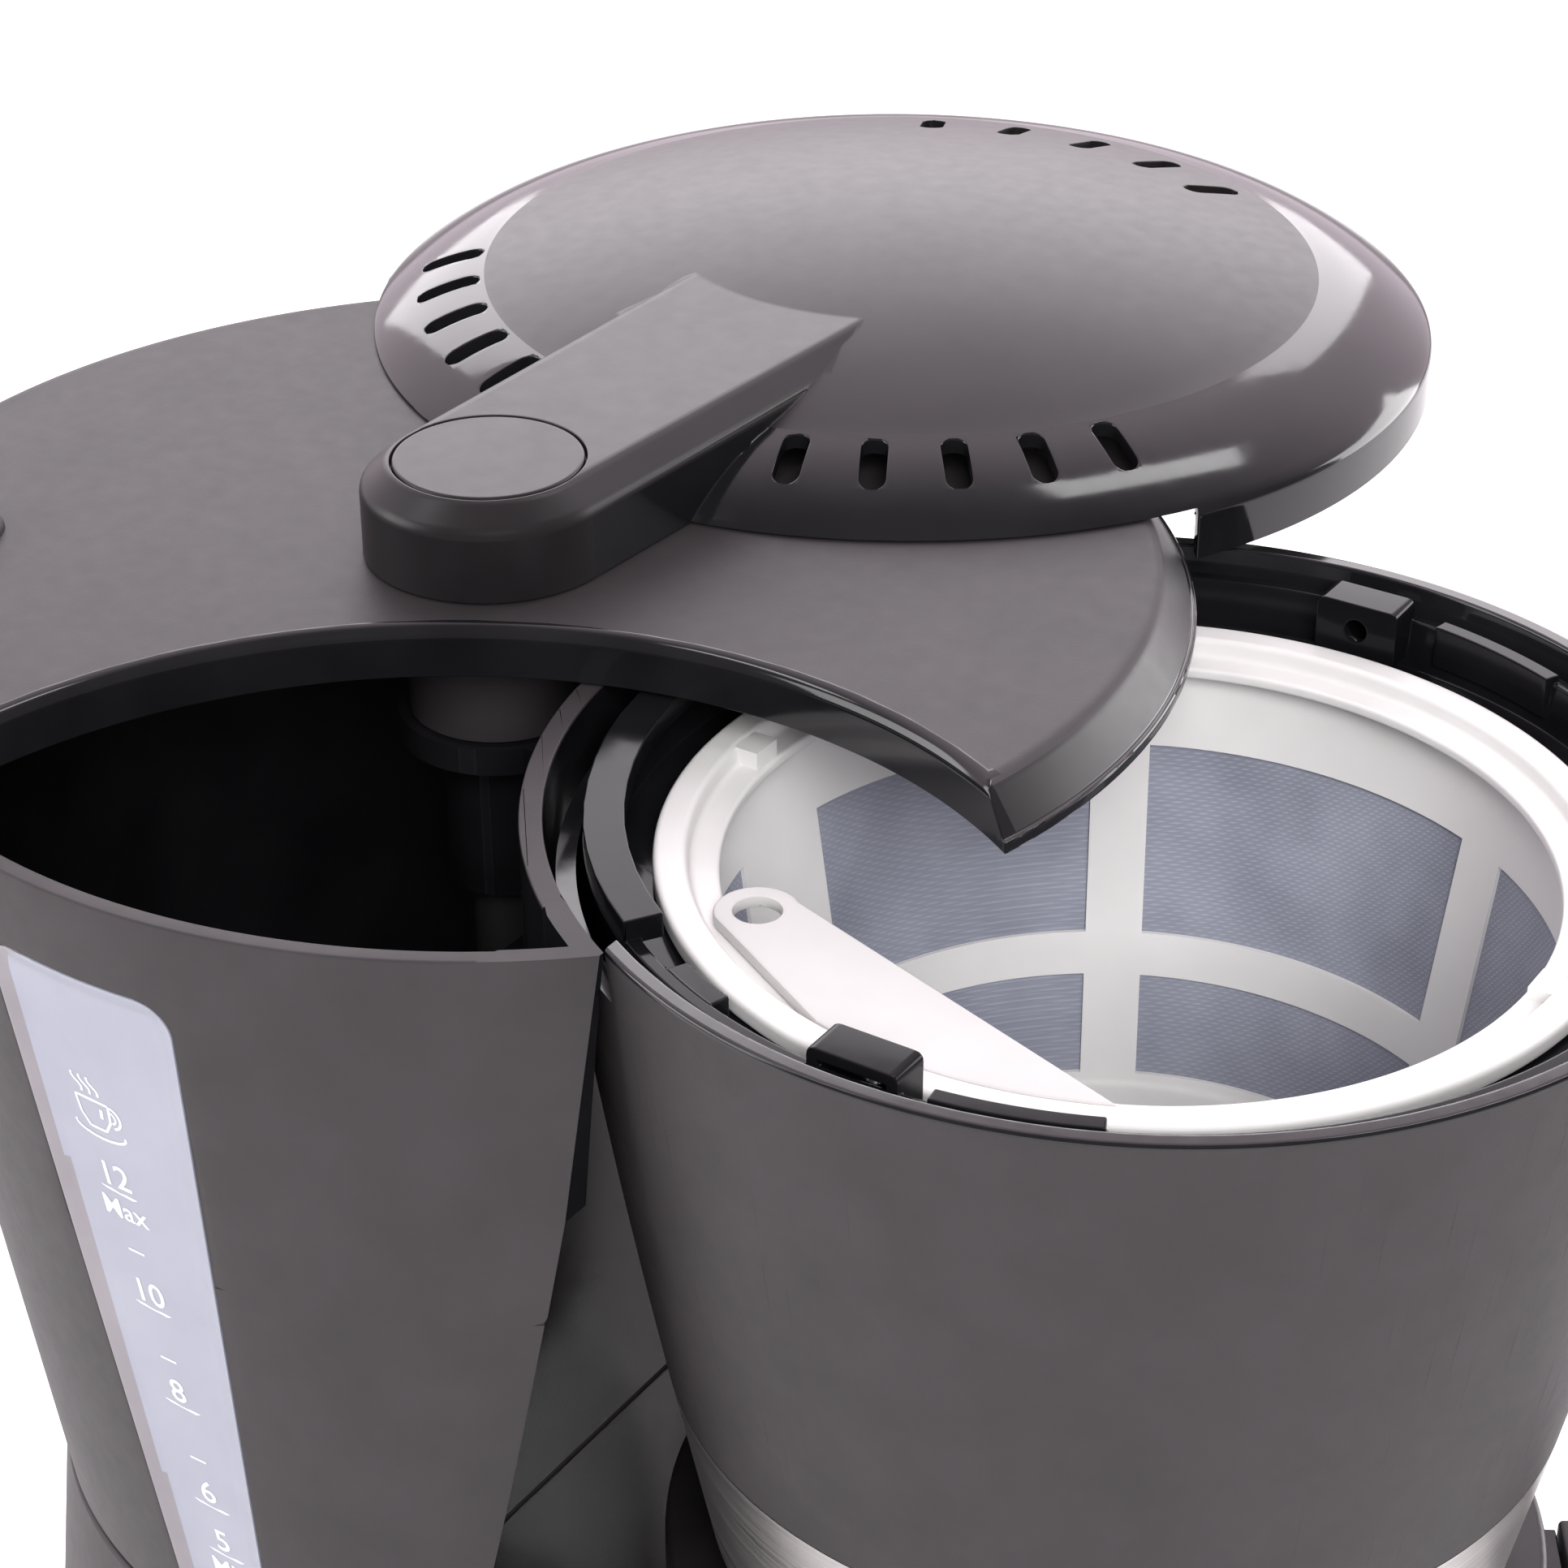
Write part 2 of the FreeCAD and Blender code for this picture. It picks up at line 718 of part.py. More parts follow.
def swivel_cover():
    """Dome and arm in one shell. Inside the lid's sweep the skirt stops above the lid."""
    outer = fuse(
        revolve(dome_profile(0, RIM_Z + SKIRT_LIFT), 0, DRUM_Y),
        arm_solid(ARM_Z, ARM_SHOULDER_Z, ARM_TOP_Z, 0),
    )
    roof = ARM_TOP_Z - ARM_TOP_WALL
    shell = cut(
        outer,
        revolve(dome_profile(COVER_WALL, RIM_Z - 1), 0, DRUM_Y),
        arm_solid(ARM_Z - 1, ARM_SHOULDER_Z - COVER_WALL / 2, roof, COVER_WALL),
        cylinder(SKIRT_START_R, RIM_Z - 1, ARM_Z),
        cylinder(CAP_R + FIT, ARM_TOP_Z - CAP_T, ARM_TOP_Z + 1),
        *vent_slots(),
    )
    return turned(shell, ARM_OPEN)


def pivot_cap():
    """Plain disc that covers the pivot, flush with the arm."""
    return cylinder(CAP_R, ARM_TOP_Z - CAP_T, ARM_TOP_Z)


def channel_plan(half_width, spreader, low, high):
    run = extrude([
        (half_width, 0),
        (-half_width, 0, 0, half_width),
        (-half_width, DRUM_Y),
        (half_width, DRUM_Y),
    ], low, high)
    return run.fuse(cylinder(spreader, low, high, 0, DRUM_Y))


def shower_channel():
    """Trough under the arm: water leaves the post, runs to the spreader and falls through its holes."""
    top = ARM_SHOULDER_Z - COVER_WALL / 2 - FIT
    floor = ARM_Z + CHANNEL_FLOOR
    inner = CHANNEL_HALF_WIDTH - CHANNEL_WALL
    trough = channel_plan(CHANNEL_HALF_WIDTH, SPREADER_R, ARM_Z, top)
    trough = trough.cut(channel_plan(inner, SPREADER_R - CHANNEL_WALL, floor, top + 1))
    hub = cylinder(inner - SEAL_FIT, ARM_Z, ARM_Z + CHANNEL_HUB_H)
    holes = [cylinder(POST_R + RUNNING_FIT, ARM_Z - 1, top)]
    for i in range(SPRAY_COUNT):
        x, y = polar(SPRAY_R, 360 / SPRAY_COUNT * (i + 0.5))
        holes.append(cylinder(SPRAY_HOLE_R, ARM_Z - 1, floor + 1, x, DRUM_Y + y))
    return turned(cut(fuse(trough, hub), *holes), ARM_OPEN)


def retaining_ring():
    """Push-on ring that keeps the arm on its post."""
    low = ARM_Z + CHANNEL_HUB_H + FIT
    return tube(CLIP_R, POST_R + RUNNING_FIT, low, low + CLIP_T)


def drum_side(inset):
    """Top, foot and middle of the drum's curved side, at a depth inside its skin."""
    top = (DRUM_R - inset, RIM_Z)
    low = (DRUM_BAND_R - inset, BAND_Z)
    return top, low, middle(low, top, DRUM_BELLY)


def drum_housing():
    """Tapered drum with a shallow recess for the band, cut down where the tank wall stands behind it."""
    top, low, bulge = drum_side(0)
    in_top, in_low, in_bulge = drum_side(WALL)
    drum = revolve([
        top,
        (*low, *bulge),
        (low[0] - BAND_RECESS, BAND_Z),
        (BAND_FOOT_R - BAND_RECESS, BAND_FOOT_Z),
        (BAND_FOOT_R, BAND_FOOT_Z),
        (BAND_FOOT_R - DRUM_FOOT, DRUM_FOOT_Z),
        (DRUM_HOLE_R, DRUM_FOOT_Z),
        (DRUM_HOLE_R, DRUM_FOOT_Z + WALL),
        (BAND_FOOT_R - BAND_RECESS - WALL, DRUM_FOOT_Z + WALL),
        in_low,
        (*in_top, *in_bulge),
    ], 0, DRUM_Y)
    return drum.cut(box(-BIG, BIG, DRUM_Y + RING_CUT_Y, 0, RIM_Z - RING_CUT, RIM_Z + 1))


def steel_band():
    """Brushed sheet wrapped round the foot of the drum."""
    return revolve([
        (DRUM_BAND_R, BAND_Z - SEAL_FIT),
        (DRUM_BAND_R - BAND_SHEET, BAND_Z - SEAL_FIT),
        (BAND_FOOT_R - BAND_SHEET, BAND_FOOT_Z + SEAL_FIT),
        (BAND_FOOT_R, BAND_FOOT_Z + SEAL_FIT),
    ], 0, DRUM_Y)


def back_sector(half_angle):
    """Wedge of the plan on the tank side of the drum's axis."""
    x, y = polar(BIG, 90 - half_angle)
    points = [(0, 0), (x, y), (0, BIG * 2), (-x, y)]
    return moved(extrude(points, 0, RIM_Z + 1), 0, DRUM_Y)


def filter_holder():
    """Cup that hangs in the drum: rear flange, seat for the filter, two lugs and the outlet."""
    inset = WALL + HOLDER_GAP
    top, low, bulge = drum_side(inset)
    in_top, in_low, in_bulge = drum_side(inset + HOLDER_WALL)
    foot_r = BAND_FOOT_R - BAND_RECESS - inset
    spout_r = OUTLET_R + OUTLET_WALL
    cup = revolve([
        top,
        (*low, *bulge),
        (foot_r, HOLDER_Z + HOLDER_CHAMFER),
        (foot_r - HOLDER_CHAMFER, HOLDER_Z),
        (spout_r, HOLDER_Z),
        (spout_r, HOLDER_Z - OUTLET_H),
        (OUTLET_R, HOLDER_Z - OUTLET_H),
        (OUTLET_R, HOLDER_FLOOR_Z),
        (foot_r - HOLDER_CHAMFER - HOLDER_WALL, HOLDER_FLOOR_Z + HOLDER_FUNNEL),
        in_low,
        (*in_top, *in_bulge),
    ], 0, DRUM_Y)
    cup = cup.cut(cylinder(BIG, RIM_Z - HOLDER_DROP, RIM_Z + 1))
    seat_z = LEDGE_Z - FIT
    seat = tube(in_top[0], SEAT_R, seat_z - SEAT_T, seat_z, 0, DRUM_Y)
    flange_z = RIM_Z - FIT
    flange = tube(top[0], top[0] - FLANGE_WIDTH, flange_z - FLANGE_T, flange_z, 0, DRUM_Y)
    flange = flange.common(back_sector(FLANGE_HALF_ANGLE))
    half = LUG_WIDTH / 2
    lug = box(in_top[0] - LUG_DEPTH, in_top[0], -half, half, flange_z - LUG_H, flange_z - FIT)
    lug = lug.cut(along_x(LUG_HOLE_R, 0, BIG, 0, flange_z - LUG_H / 2))
    lugs = [moved(turned(lug, angle), 0, DRUM_Y) for angle in (0, 180)]
    return fuse(cup, seat, flange, *lugs)


def filter_radius(z):
    share = (z - FILTER_FLOOR_Z) / (FILTER_RIM_Z - FILTER_FLOOR_Z)
    return FILTER_BOTTOM_R + (FILTER_TOP_R - FILTER_BOTTOM_R) * share


def rib_boxes(width, back_width, low, high):
    """Radial bars from the filter's axis, the one towards the tank wider than the rest."""
    bars = []
    for i in range(RIB_COUNT):
        half = (width if i else back_width) / 2
        bar = box(0, FILTER_RIM_R + 1, -half, half, low, high)
        bars.append(moved(turned(bar, 90 + 360 / RIB_COUNT * i), 0, DRUM_Y))
    return bars


def filter_basket():
    """White basket: rim, inner ledge, ribs, a cross bar round the side and an open floor."""
    wall = FILTER_WALL
    floor_z = FILTER_FLOOR_Z + wall
    under = LEDGE_Z - LEDGE_T
    basket = revolve([
        (FILTER_RIM_R, FILTER_RIM_Z),
        (FILTER_RIM_R, LEDGE_Z),
        (filter_radius(LEDGE_Z), LEDGE_Z),
        (FILTER_BOTTOM_R, FILTER_FLOOR_Z),
        (0, FILTER_FLOOR_Z),
        (0, floor_z),
        (filter_radius(floor_z) - wall, floor_z),
        (filter_radius(under) - wall, under),
        (LEDGE_R, under),
        (LEDGE_R, LEDGE_Z),
        (filter_radius(LEDGE_Z) - wall, LEDGE_Z),
        (FILTER_TOP_R - wall, FILTER_RIM_Z),
    ], 0, DRUM_Y)
    rows = [
        (RIM_Z - PANEL_BAR_DROP, RIM_Z - PANEL_DROP),
        (FILTER_FLOOR_Z + PANEL_FOOT, RIM_Z - PANEL_BAR_DROP - PANEL_BAR),
    ]
    for low, high in rows:
        panels = tube(FILTER_RIM_R, FILTER_BOTTOM_R - FLOOR_RING, low, high, 0, DRUM_Y)
        basket = basket.cut(cut(panels, *rib_boxes(RIB_WIDTH, BACK_RIB_WIDTH, low - 1, high + 1)))
    low = FILTER_FLOOR_Z - 1
    high = floor_z + 1
    holes = tube(FILTER_BOTTOM_R - FLOOR_RING, FLOOR_HUB_R, low, high, 0, DRUM_Y)
    return basket.cut(cut(holes, *rib_boxes(RIB_WIDTH, RIB_WIDTH, low - 1, high + 1)))


def filter_frame():
    """Sides of the basket, down to the seam at which its floor is welded on."""
    seam = FILTER_FLOOR_Z + PANEL_FOOT
    return filter_basket().cut(cylinder(FILTER_RIM_R, FILTER_FLOOR_Z - 1, seam, 0, DRUM_Y))


def filter_floor():
    """Open floor of the basket, with its low edge."""
    seam = FILTER_FLOOR_Z + PANEL_FOOT - SEAL_FIT
    return filter_basket().cut(cylinder(FILTER_RIM_R + WALL, seam, RIM_Z, 0, DRUM_Y))


def filter_mesh():
    """Fine net, drawn tight round the outside of the basket so that the ribs show within."""
    floor = FILTER_FLOOR_Z - SEAL_FIT
    low = floor - MESH_T
    high = LEDGE_Z - SEAL_FIT
    return revolve([
        (0, low),
        (filter_radius(low) + SEAL_FIT + MESH_T, low),
        (filter_radius(high) + SEAL_FIT + MESH_T, high),
        (filter_radius(high) + SEAL_FIT, high),
        (filter_radius(floor) + SEAL_FIT, floor),
        (0, floor),
    ], 0, DRUM_Y)


def filter_handle():
    """Flat lifting tab along the left of the rim, wide at the front and with an eye at the back."""
    low = LEDGE_Z + SEAL_FIT
    edge = filter_radius(low) - FILTER_WALL - FIT
    eye_x, eye_y = polar(FLAP_EYE_POLAR_R, FLAP_EYE_ANGLE)
    across_x, across_y = polar(FLAP_EYE_R, FLAP_EYE_ANGLE)
    tip_x, tip_y = polar(FLAP_EYE_R, FLAP_EYE_ANGLE - 90)
    tab = extrude([
        (eye_x - across_x, eye_y - across_y),
        (eye_x + across_x, eye_y + across_y, eye_x + tip_x, eye_y + tip_y),
        polar(edge, FLAP_START_ANGLE),
        (*polar(edge, FLAP_END_ANGLE), *polar(edge, (FLAP_START_ANGLE + FLAP_END_ANGLE) / 2)),
    ], low, low + FLAP_T)
    eye = cylinder(FLAP_EYE_HOLE_R, low - 1, low + FLAP_T + 1, eye_x, eye_y)
    return moved(tab.cut(eye), 0, DRUM_Y)


def drip_valve():
    """Plunger that the carafe lid lifts, so that the coffee runs only while the carafe is in place."""
    disc = cylinder(VALVE_R, VALVE_Z, VALVE_Z + VALVE_T, 0, DRUM_Y)
    return fuse(disc, cylinder(VALVE_STEM_R, VALVE_TIP_Z, VALVE_Z, 0, DRUM_Y))


def valve_seal():
    return tube(VALVE_R, VALVE_SEAL_R, VALVE_Z - VALVE_SEAL_T, VALVE_Z, 0, DRUM_Y)


def valve_cage():
    """Slotted cap over the plunger, which holds its spring down."""
    high = CAGE_Z + CAGE_H
    cage = cylinder(CAGE_R, CAGE_Z, high)
    cage = cage.cut(cylinder(CAGE_R - CAGE_WALL, CAGE_Z - 1, high - CAGE_ROOF))
    half = CAGE_SLOT / 2
    reach = CAGE_R + 1
    low = CAGE_Z + CAGE_WALL
    slot = box(-reach, reach, -half, half, low, low + CAGE_SLOT_H)
    return moved(cut(cage, slot, turned(slot, 90)), 0, DRUM_Y)


def valve_spring():
    """Return spring, drawn as the sleeve that its turns fill."""
    low = VALVE_Z + VALVE_T + SEAL_FIT
    high = CAGE_Z + CAGE_H - CAGE_ROOF - SEAL_FIT
    return tube(SPRING_R, SPRING_R - SPRING_WIRE, low, high, 0, DRUM_Y)


def carafe_profile(inset, foot):
    """Half section of the jug: flat foot, round belly and sloping shoulder."""
    sole = (CARAFE_FOOT_R - inset, foot)
    heel = (CARAFE_HEEL_R - inset, CARAFE_Z + CARAFE_HEEL)
    belly = (CARAFE_BELLY_R - inset, CARAFE_Z + CARAFE_BELLY)
    neck = (CARAFE_NECK_R - inset, GLASS_TOP_Z - CARAFE_NECK_H)
    return [
        (0, foot),
        sole,
        (*heel, *middle(sole, heel, CARAFE_SWELL / 2)),
        (*belly, *middle(heel, belly, CARAFE_SWELL)),
        (*neck, *middle(belly, neck, CARAFE_SWELL)),
    ]


def carafe_glass():
    """Blown jug, one thickness all over."""
    top = GLASS_TOP_Z
    inner_r = CARAFE_NECK_R - GLASS_T
    body = revolve(carafe_profile(0, CARAFE_Z) + [(CARAFE_NECK_R, top), (0, top)], 0, DRUM_Y)
    inside = carafe_profile(GLASS_T, CARAFE_Z + GLASS_T) + [(inner_r, top + 1), (0, top + 1)]
    return body.cut(revolve(inside, 0, DRUM_Y))


def at_carafe(shape):
    """Set a piece that was drawn in front of the origin at the carafe's axis, turned with its handle."""
    return moved(turned(shape, CARAFE_TURN), 0, DRUM_Y)


def carafe_collar():
    """Moulded band round the neck, with a lip over the glass and a lug for the handle."""
    bore = CARAFE_NECK_R + FIT
    half = HANDLE_WIDTH / 2
    collar = tube(COLLAR_R, bore, COLLAR_LOW_Z, COLLAR_TOP_Z)
    lip = tube(bore + 1, CARAFE_NECK_R - GLASS_T, GLASS_TOP_Z + FIT, COLLAR_TOP_Z)
    lug = box(-half, half, -COLLAR_LUG_R, -bore - 1, COLLAR_LOW_Z, COLLAR_TOP_Z)
    hole = along_y(SCREW_R + SEAL_FIT, -BIG, -bore - 1, 0, COLLAR_SCREW_Z)
    return at_carafe(fuse(collar, lip, lug).cut(hole))


def carafe_handle():
    """Loop handle that stands off the collar's lug and turns in below the belly."""
    near = COLLAR_LUG_R + SEAL_FIT
    top = COLLAR_TOP_Z + COLLAR_LIP
    under = COLLAR_LOW_Z
    sole = CARAFE_Z + HANDLE_FOOT
    heel = CARAFE_BELLY_R + 2 * FIT
    far = HANDLE_REACH
    foot = HANDLE_FOOT_REACH
    bend = HANDLE_ROUND
    thick = HANDLE_T
    small = bend - thick
    diagonal = 1 - math.sqrt(0.5)
    loop = upright([
        (near, under),
        (near, top),
        (far - bend, top),
        (far, top - bend, far - bend * diagonal, top - bend * diagonal),
        (foot, sole + bend),
        (foot - bend, sole, foot - bend * diagonal, sole + bend * diagonal),
        (heel, sole),
        (heel, sole + thick),
        (foot - bend, sole + thick),
        (foot - thick, sole + bend, foot - thick - small * diagonal, sole + thick + small * diagonal),
        (far - thick, under - small),
        (far - bend, under, far - thick - small * diagonal, under - small * diagonal),
    ])
    loop = moved(turned(loop, -90), -HANDLE_WIDTH / 2, 0)
    solid = loop.extrude(vec(HANDLE_WIDTH, 0, 0))
    bore = along_y(SCREW_R + SEAL_FIT, -BIG, 0, 0, COLLAR_SCREW_Z)
    well = along_y(SCREW_HEAD_R + FIT, -BIG, -near - COLLAR_WALL, 0, COLLAR_SCREW_Z)
    return at_carafe(cut(solid, bore, well))


def collar_screw():
    """Screw through the handle into the collar's lug."""
    head_y = -COLLAR_LUG_R - SEAL_FIT - COLLAR_WALL
    shank = along_y(SCREW_R, head_y, -CARAFE_NECK_R - COLLAR_WALL, 0, COLLAR_SCREW_Z)
    head = along_y(SCREW_HEAD_R, head_y - SCREW_HEAD_H, head_y, 0, COLLAR_SCREW_Z)
    return at_carafe(fuse(shank, head))


def carafe_lid():
    """Dished lid with drip holes round the post that lifts the drip stop."""
    plug_r = CARAFE_NECK_R - GLASS_T - FIT
    low = COLLAR_TOP_Z + SEAL_FIT
    dish_z = CARAFE_LID_Z - LID_DISH
    lid = cylinder(COLLAR_R, low, CARAFE_LID_Z, 0, DRUM_Y)
    lid = lid.cut(tube(LID_DISH_R, LID_POST_R, dish_z, CARAFE_LID_Z + 1, 0, DRUM_Y))
    plug = tube(plug_r, plug_r - LID_PLUG_T, COLLAR_TOP_Z - LID_PLUG_H, dish_z, 0, DRUM_Y)
    holes = []
    for i in range(DRIP_HOLES):
        x, y = polar(DRIP_HOLE_POLAR_R, 360 / DRIP_HOLES * i)
        holes.append(cylinder(DRIP_HOLE_R, low - 1, CARAFE_LID_Z + 1, x, DRUM_Y + y))
    return cut(fuse(lid, plug), *holes)


def base_wire(z, inset):
    """Plan of the base: a circle under the column and one under the drum, joined by tangents."""
    back = column_radius(z) - inset
    front = base_front_radius(z) - inset
    rise = (back - front) / (TANK_Y - DRUM_Y)
    run = math.sqrt(1 - rise * rise)
    wire = outline([
        (-front * run, DRUM_Y + front * rise),
        (front * run, DRUM_Y + front * rise, 0, DRUM_Y - front),
        (back * run, TANK_Y + back * rise),
        (-back * run, TANK_Y + back * rise, 0, TANK_Y + back),
    ])
    wire.translate(vec(0, 0, z))
    return wire


def base_block(low, high, inset):
    return Part.makeLoft([base_wire(low, inset), base_wire(high, inset)], True, True)


def base_screw_places():
    x, y = polar(column_radius(BASE_TOP_Z) - WALL - BOSS_R / 2, BOSS_BACK_ANGLE)
    back = [(side * x, TANK_Y + y) for side in (-1, 1)]
    front = [(side * BOSS_FRONT_X, BOSS_FRONT_Y) for side in (-1, 1)]
    return back + front


def foot_places():
    back_x, back_y = polar(column_radius(BASE_EDGE_Z) - FOOT_INSET, FOOT_BACK_ANGLE)
    front_x, front_y = polar(BASE_FRONT_R - FOOT_INSET, FOOT_FRONT_ANGLE)
    back = [(side * back_x, TANK_Y + back_y) for side in (-1, 1)]
    front = [(side * front_x, DRUM_Y + front_y) for side in (-1, 1)]
    return back + front


def strap_screw_places():
    return [(side * STRAP_SCREW_X, DRUM_Y) for side in (-1, 1)]


def switch_box(grow, y0, y1):
    half = SWITCH_WIDTH / 2 + grow
    tall = SWITCH_HEIGHT / 2 + grow
    return box(-half, half, y0, y1, SWITCH_Z - tall, SWITCH_Z + tall)


def column_hall(low, high):
    """Space inside the column, behind the bay."""
    hall = cone(column_radius(low) - WALL, column_radius(high) - WALL, low, high, 0, TANK_Y)
    return hall.cut(bay(WALL, low - 1, high + 1))


def column_housing():
    """Rear column: a flared shell on the deck, bitten out by the bay, up to the seam under the tank."""
    seam_z = WAIST_Z - SEAM
    column = cone(column_radius(BASE_TOP_Z), column_radius(seam_z), BASE_TOP_Z, seam_z, 0, TANK_Y)
    return cut(column, bay(0, BASE_TOP_Z - 1, WAIST_Z), column_hall(BASE_TOP_Z - 1, WAIST_Z))


def base_housing():
    """Foot: a tray turned over, with the deck for the warming plate and a way up into the column."""
    switch_pad = switch_box(SWITCH_BEZEL + FIT, SWITCH_FACE_Y, SWITCH_BACK_Y)
    half = CORD_FLANGE_R + FIT
    cord_pad = box(-half, half, CORD_FACE_Y - CORD_SHANK, CORD_FACE_Y, CORD_Z - half, CORD_Z + half)
    outer = fuse(base_block(BASE_EDGE_Z, BASE_TOP_Z, 0), switch_pad, cord_pad)
    shell = cut(outer, base_block(BASE_EDGE_Z - 1, DECK_Z, WALL), column_hall(DECK_Z, BASE_TOP_Z + 1))
    bosses = []
    holes = []
    for x, y in base_screw_places():
        bosses.append(cylinder(BOSS_R, FLOOR_Z + SEAL_FIT, DECK_Z + 1, x, y))
        holes.append(cylinder(SCREW_R + SEAL_FIT, 0, FLOOR_Z + SCREW_LENGTH, x, y))
    for x, y in strap_screw_places():
        bosses.append(cylinder(BOSS_R, STRAP_Z + SEAL_FIT, DECK_Z + 1, x, y))
        holes.append(cylinder(SCREW_R + SEAL_FIT, 0, STRAP_Z + STRAP_SCREW_LENGTH, x, y))
    holes.append(cylinder(PLATE_HOLE_R, DECK_Z - 1, BASE_TOP_Z + 1, 0, DRUM_Y))
    holes.append(switch_box(FIT, SWITCH_FACE_Y - 1, SWITCH_BACK_Y + 1))
    holes.append(along_y(CORD_SHANK_R + SEAL_FIT, 0, BIG, 0, CORD_Z))
    return cut(fuse(shell, *bosses), *holes)


def switch_frame():
    """Snap-in frame of the switch, with a bezel outside the wall."""
    front = SWITCH_FACE_Y - SWITCH_BEZEL_T
    bezel = switch_box(SWITCH_BEZEL, front, SWITCH_FACE_Y - SEAL_FIT)
    sleeve = switch_box(0, front, SWITCH_BACK_Y)
    return fuse(bezel, sleeve).cut(switch_box(-SWITCH_WALL, front - 1, SWITCH_BACK_Y + 1))


def switch_rocker():
    """Round-backed rocker with two flat faces that meet in a shallow V, drawn switched off."""
    half = SWITCH_WIDTH / 2 - SWITCH_WALL - FIT
    rocker = along_x(ROCKER_R, -half, half, 0, 0)
    for tilt, low, high in ((ROCKER_TILT, 0, BIG), (-ROCKER_TILT, -BIG, 0)):
        face = box(-BIG, BIG, -BIG, -ROCKER_FACE, low, high)
        face.rotate(vec(0, -ROCKER_FACE), vec(1, 0), tilt)
        rocker = rocker.cut(face)
    rocker.rotate(vec(0, 0), vec(1, 0), -ROCKER_TILT)
    return moved(rocker, 0, ROCKER_Y, SWITCH_Z)


def switch_body():
    """Contact block behind the frame."""
    return switch_box(0, SWITCH_BACK_Y, SWITCH_BACK_Y + SWITCH_BODY_DEPTH)


def base_plate():
    """Floor of the foot, set inside the wall, with holes for the screws and the feet."""
    plate = Part.Face(base_wire(BASE_EDGE_Z, WALL + 2 * FIT)).extrude(vec(0, 0, FLOOR_T))
    holes = []
    for x, y in base_screw_places():
        holes.append(cylinder(SCREW_R + SEAL_FIT, 0, BIG, x, y))
        holes.append(cylinder(SCREW_HEAD_R + FIT, 0, BASE_EDGE_Z + SCREW_HEAD_H, x, y))
    for x, y in foot_places():
        holes.append(cylinder(FOOT_PEG_R + SEAL_FIT, 0, BIG, x, y))
    return cut(plate, *holes)


def rubber_feet():
    """Four feet, each pegged into the base plate."""
    peg = cylinder(FOOT_PEG_R, 0, BASE_EDGE_Z + FOOT_PEG_H)
    foot = fuse(cylinder(FOOT_R, 0, BASE_EDGE_Z), peg)
    return Part.makeCompound([moved(foot, x, y) for x, y in foot_places()])


def screws(places, head_low, length):
    """Round-headed screws, driven upwards."""
    head = cylinder(SCREW_HEAD_R, head_low, head_low + SCREW_HEAD_H)
    solid = fuse(head, cylinder(SCREW_R, head_low, head_low + length))
    return Part.makeCompound([moved(solid, x, y) for x, y in places])


def base_screws():
    return screws(base_screw_places(), BASE_EDGE_Z, SCREW_LENGTH)


def heater_screws():
    return screws(strap_screw_places(), STRAP_Z - STRAP_T - SCREW_HEAD_H, STRAP_T + STRAP_SCREW_LENGTH)


def hot_plate():
    """Coated plate with a turned-down edge."""
    inner = PLATE_R - PLATE_T
    edge_z = BASE_TOP_Z + PLATE_SEAL_T
    return revolve([
        (0, HOT_Z),
        (PLATE_R, HOT_Z),
        (PLATE_R, edge_z),
        (inner, edge_z),
        (inner, HEATER_TOP_Z),
        (0, HEATER_TOP_Z),
    ], 0, DRUM_Y)


def hot_plate_seal():
    return tube(PLATE_R, PLATE_HOLE_R + FIT, BASE_TOP_Z, BASE_TOP_Z + PLATE_SEAL_T, 0, DRUM_Y)


def heater():
    """Cast horseshoe under the plate, with a pipe stub at each end for the hoses."""
    inner = HEATER_R - HEATER_HALF_WIDTH
    outer = HEATER_R + HEATER_HALF_WIDTH
    ring = tube(outer, inner, STRAP_Z, HEATER_TOP_Z, 0, DRUM_Y)
    ring = ring.cut(box(-HEATER_GAP, HEATER_GAP, DRUM_Y, 0, 0, HOT_Z))
    start = DRUM_Y + math.sqrt(HEATER_R ** 2 - STUB_X ** 2)
    stubs = []
    bores = []
    for x in (-STUB_X, STUB_X):
        stubs.append(along_y(RISER_R, start, DRUM_Y + STUB_LENGTH, x, STUB_Z))
        bores.append(along_y(RISER_R - RISER_WALL, start, 0, x, STUB_Z))
    return cut(fuse(ring, *stubs), *bores)


def heater_strap():
    """Bar that presses the heater against the plate."""
    half = STRAP_SCREW_X + BOSS_R
    wide = STRAP_HALF_WIDTH
    strap = box(-half, half, DRUM_Y - wide, DRUM_Y + wide, STRAP_Z - STRAP_T, STRAP_Z)
    return cut(strap, *[cylinder(SCREW_R + SEAL_FIT, 0, HOT_Z, x, y) for x, y in strap_screw_places()])


def thermostat():
    return cylinder(THERMOSTAT_R, HEATER_TOP_Z - THERMOSTAT_H, HEATER_TOP_Z, 0, DRUM_Y)


def thermal_fuse():
    half = FUSE_LENGTH / 2
    return along_x(FUSE_R, -half, half, DRUM_Y, STRAP_Z + FUSE_R + SEAL_FIT)


def terminal_block():
    half = TERMINAL_WIDTH / 2
    return box(-half, half, TERMINAL_Y, TERMINAL_Y + TERMINAL_DEPTH, FLOOR_Z, FLOOR_Z + TERMINAL_H)


def cord_grommet():
    """Rubber sleeve in the rear wall where the supply lead enters."""
    outside = CORD_FACE_Y + CORD_FLANGE_T
    flange = along_y(CORD_FLANGE_R, CORD_FACE_Y + SEAL_FIT, outside, 0, CORD_Z)
    shank = along_y(CORD_SHANK_R, CORD_FACE_Y - CORD_SHANK, outside, 0, CORD_Z)
    return fuse(flange, shank).cut(along_y(CORD_BORE_R, 0, BIG, 0, CORD_Z))


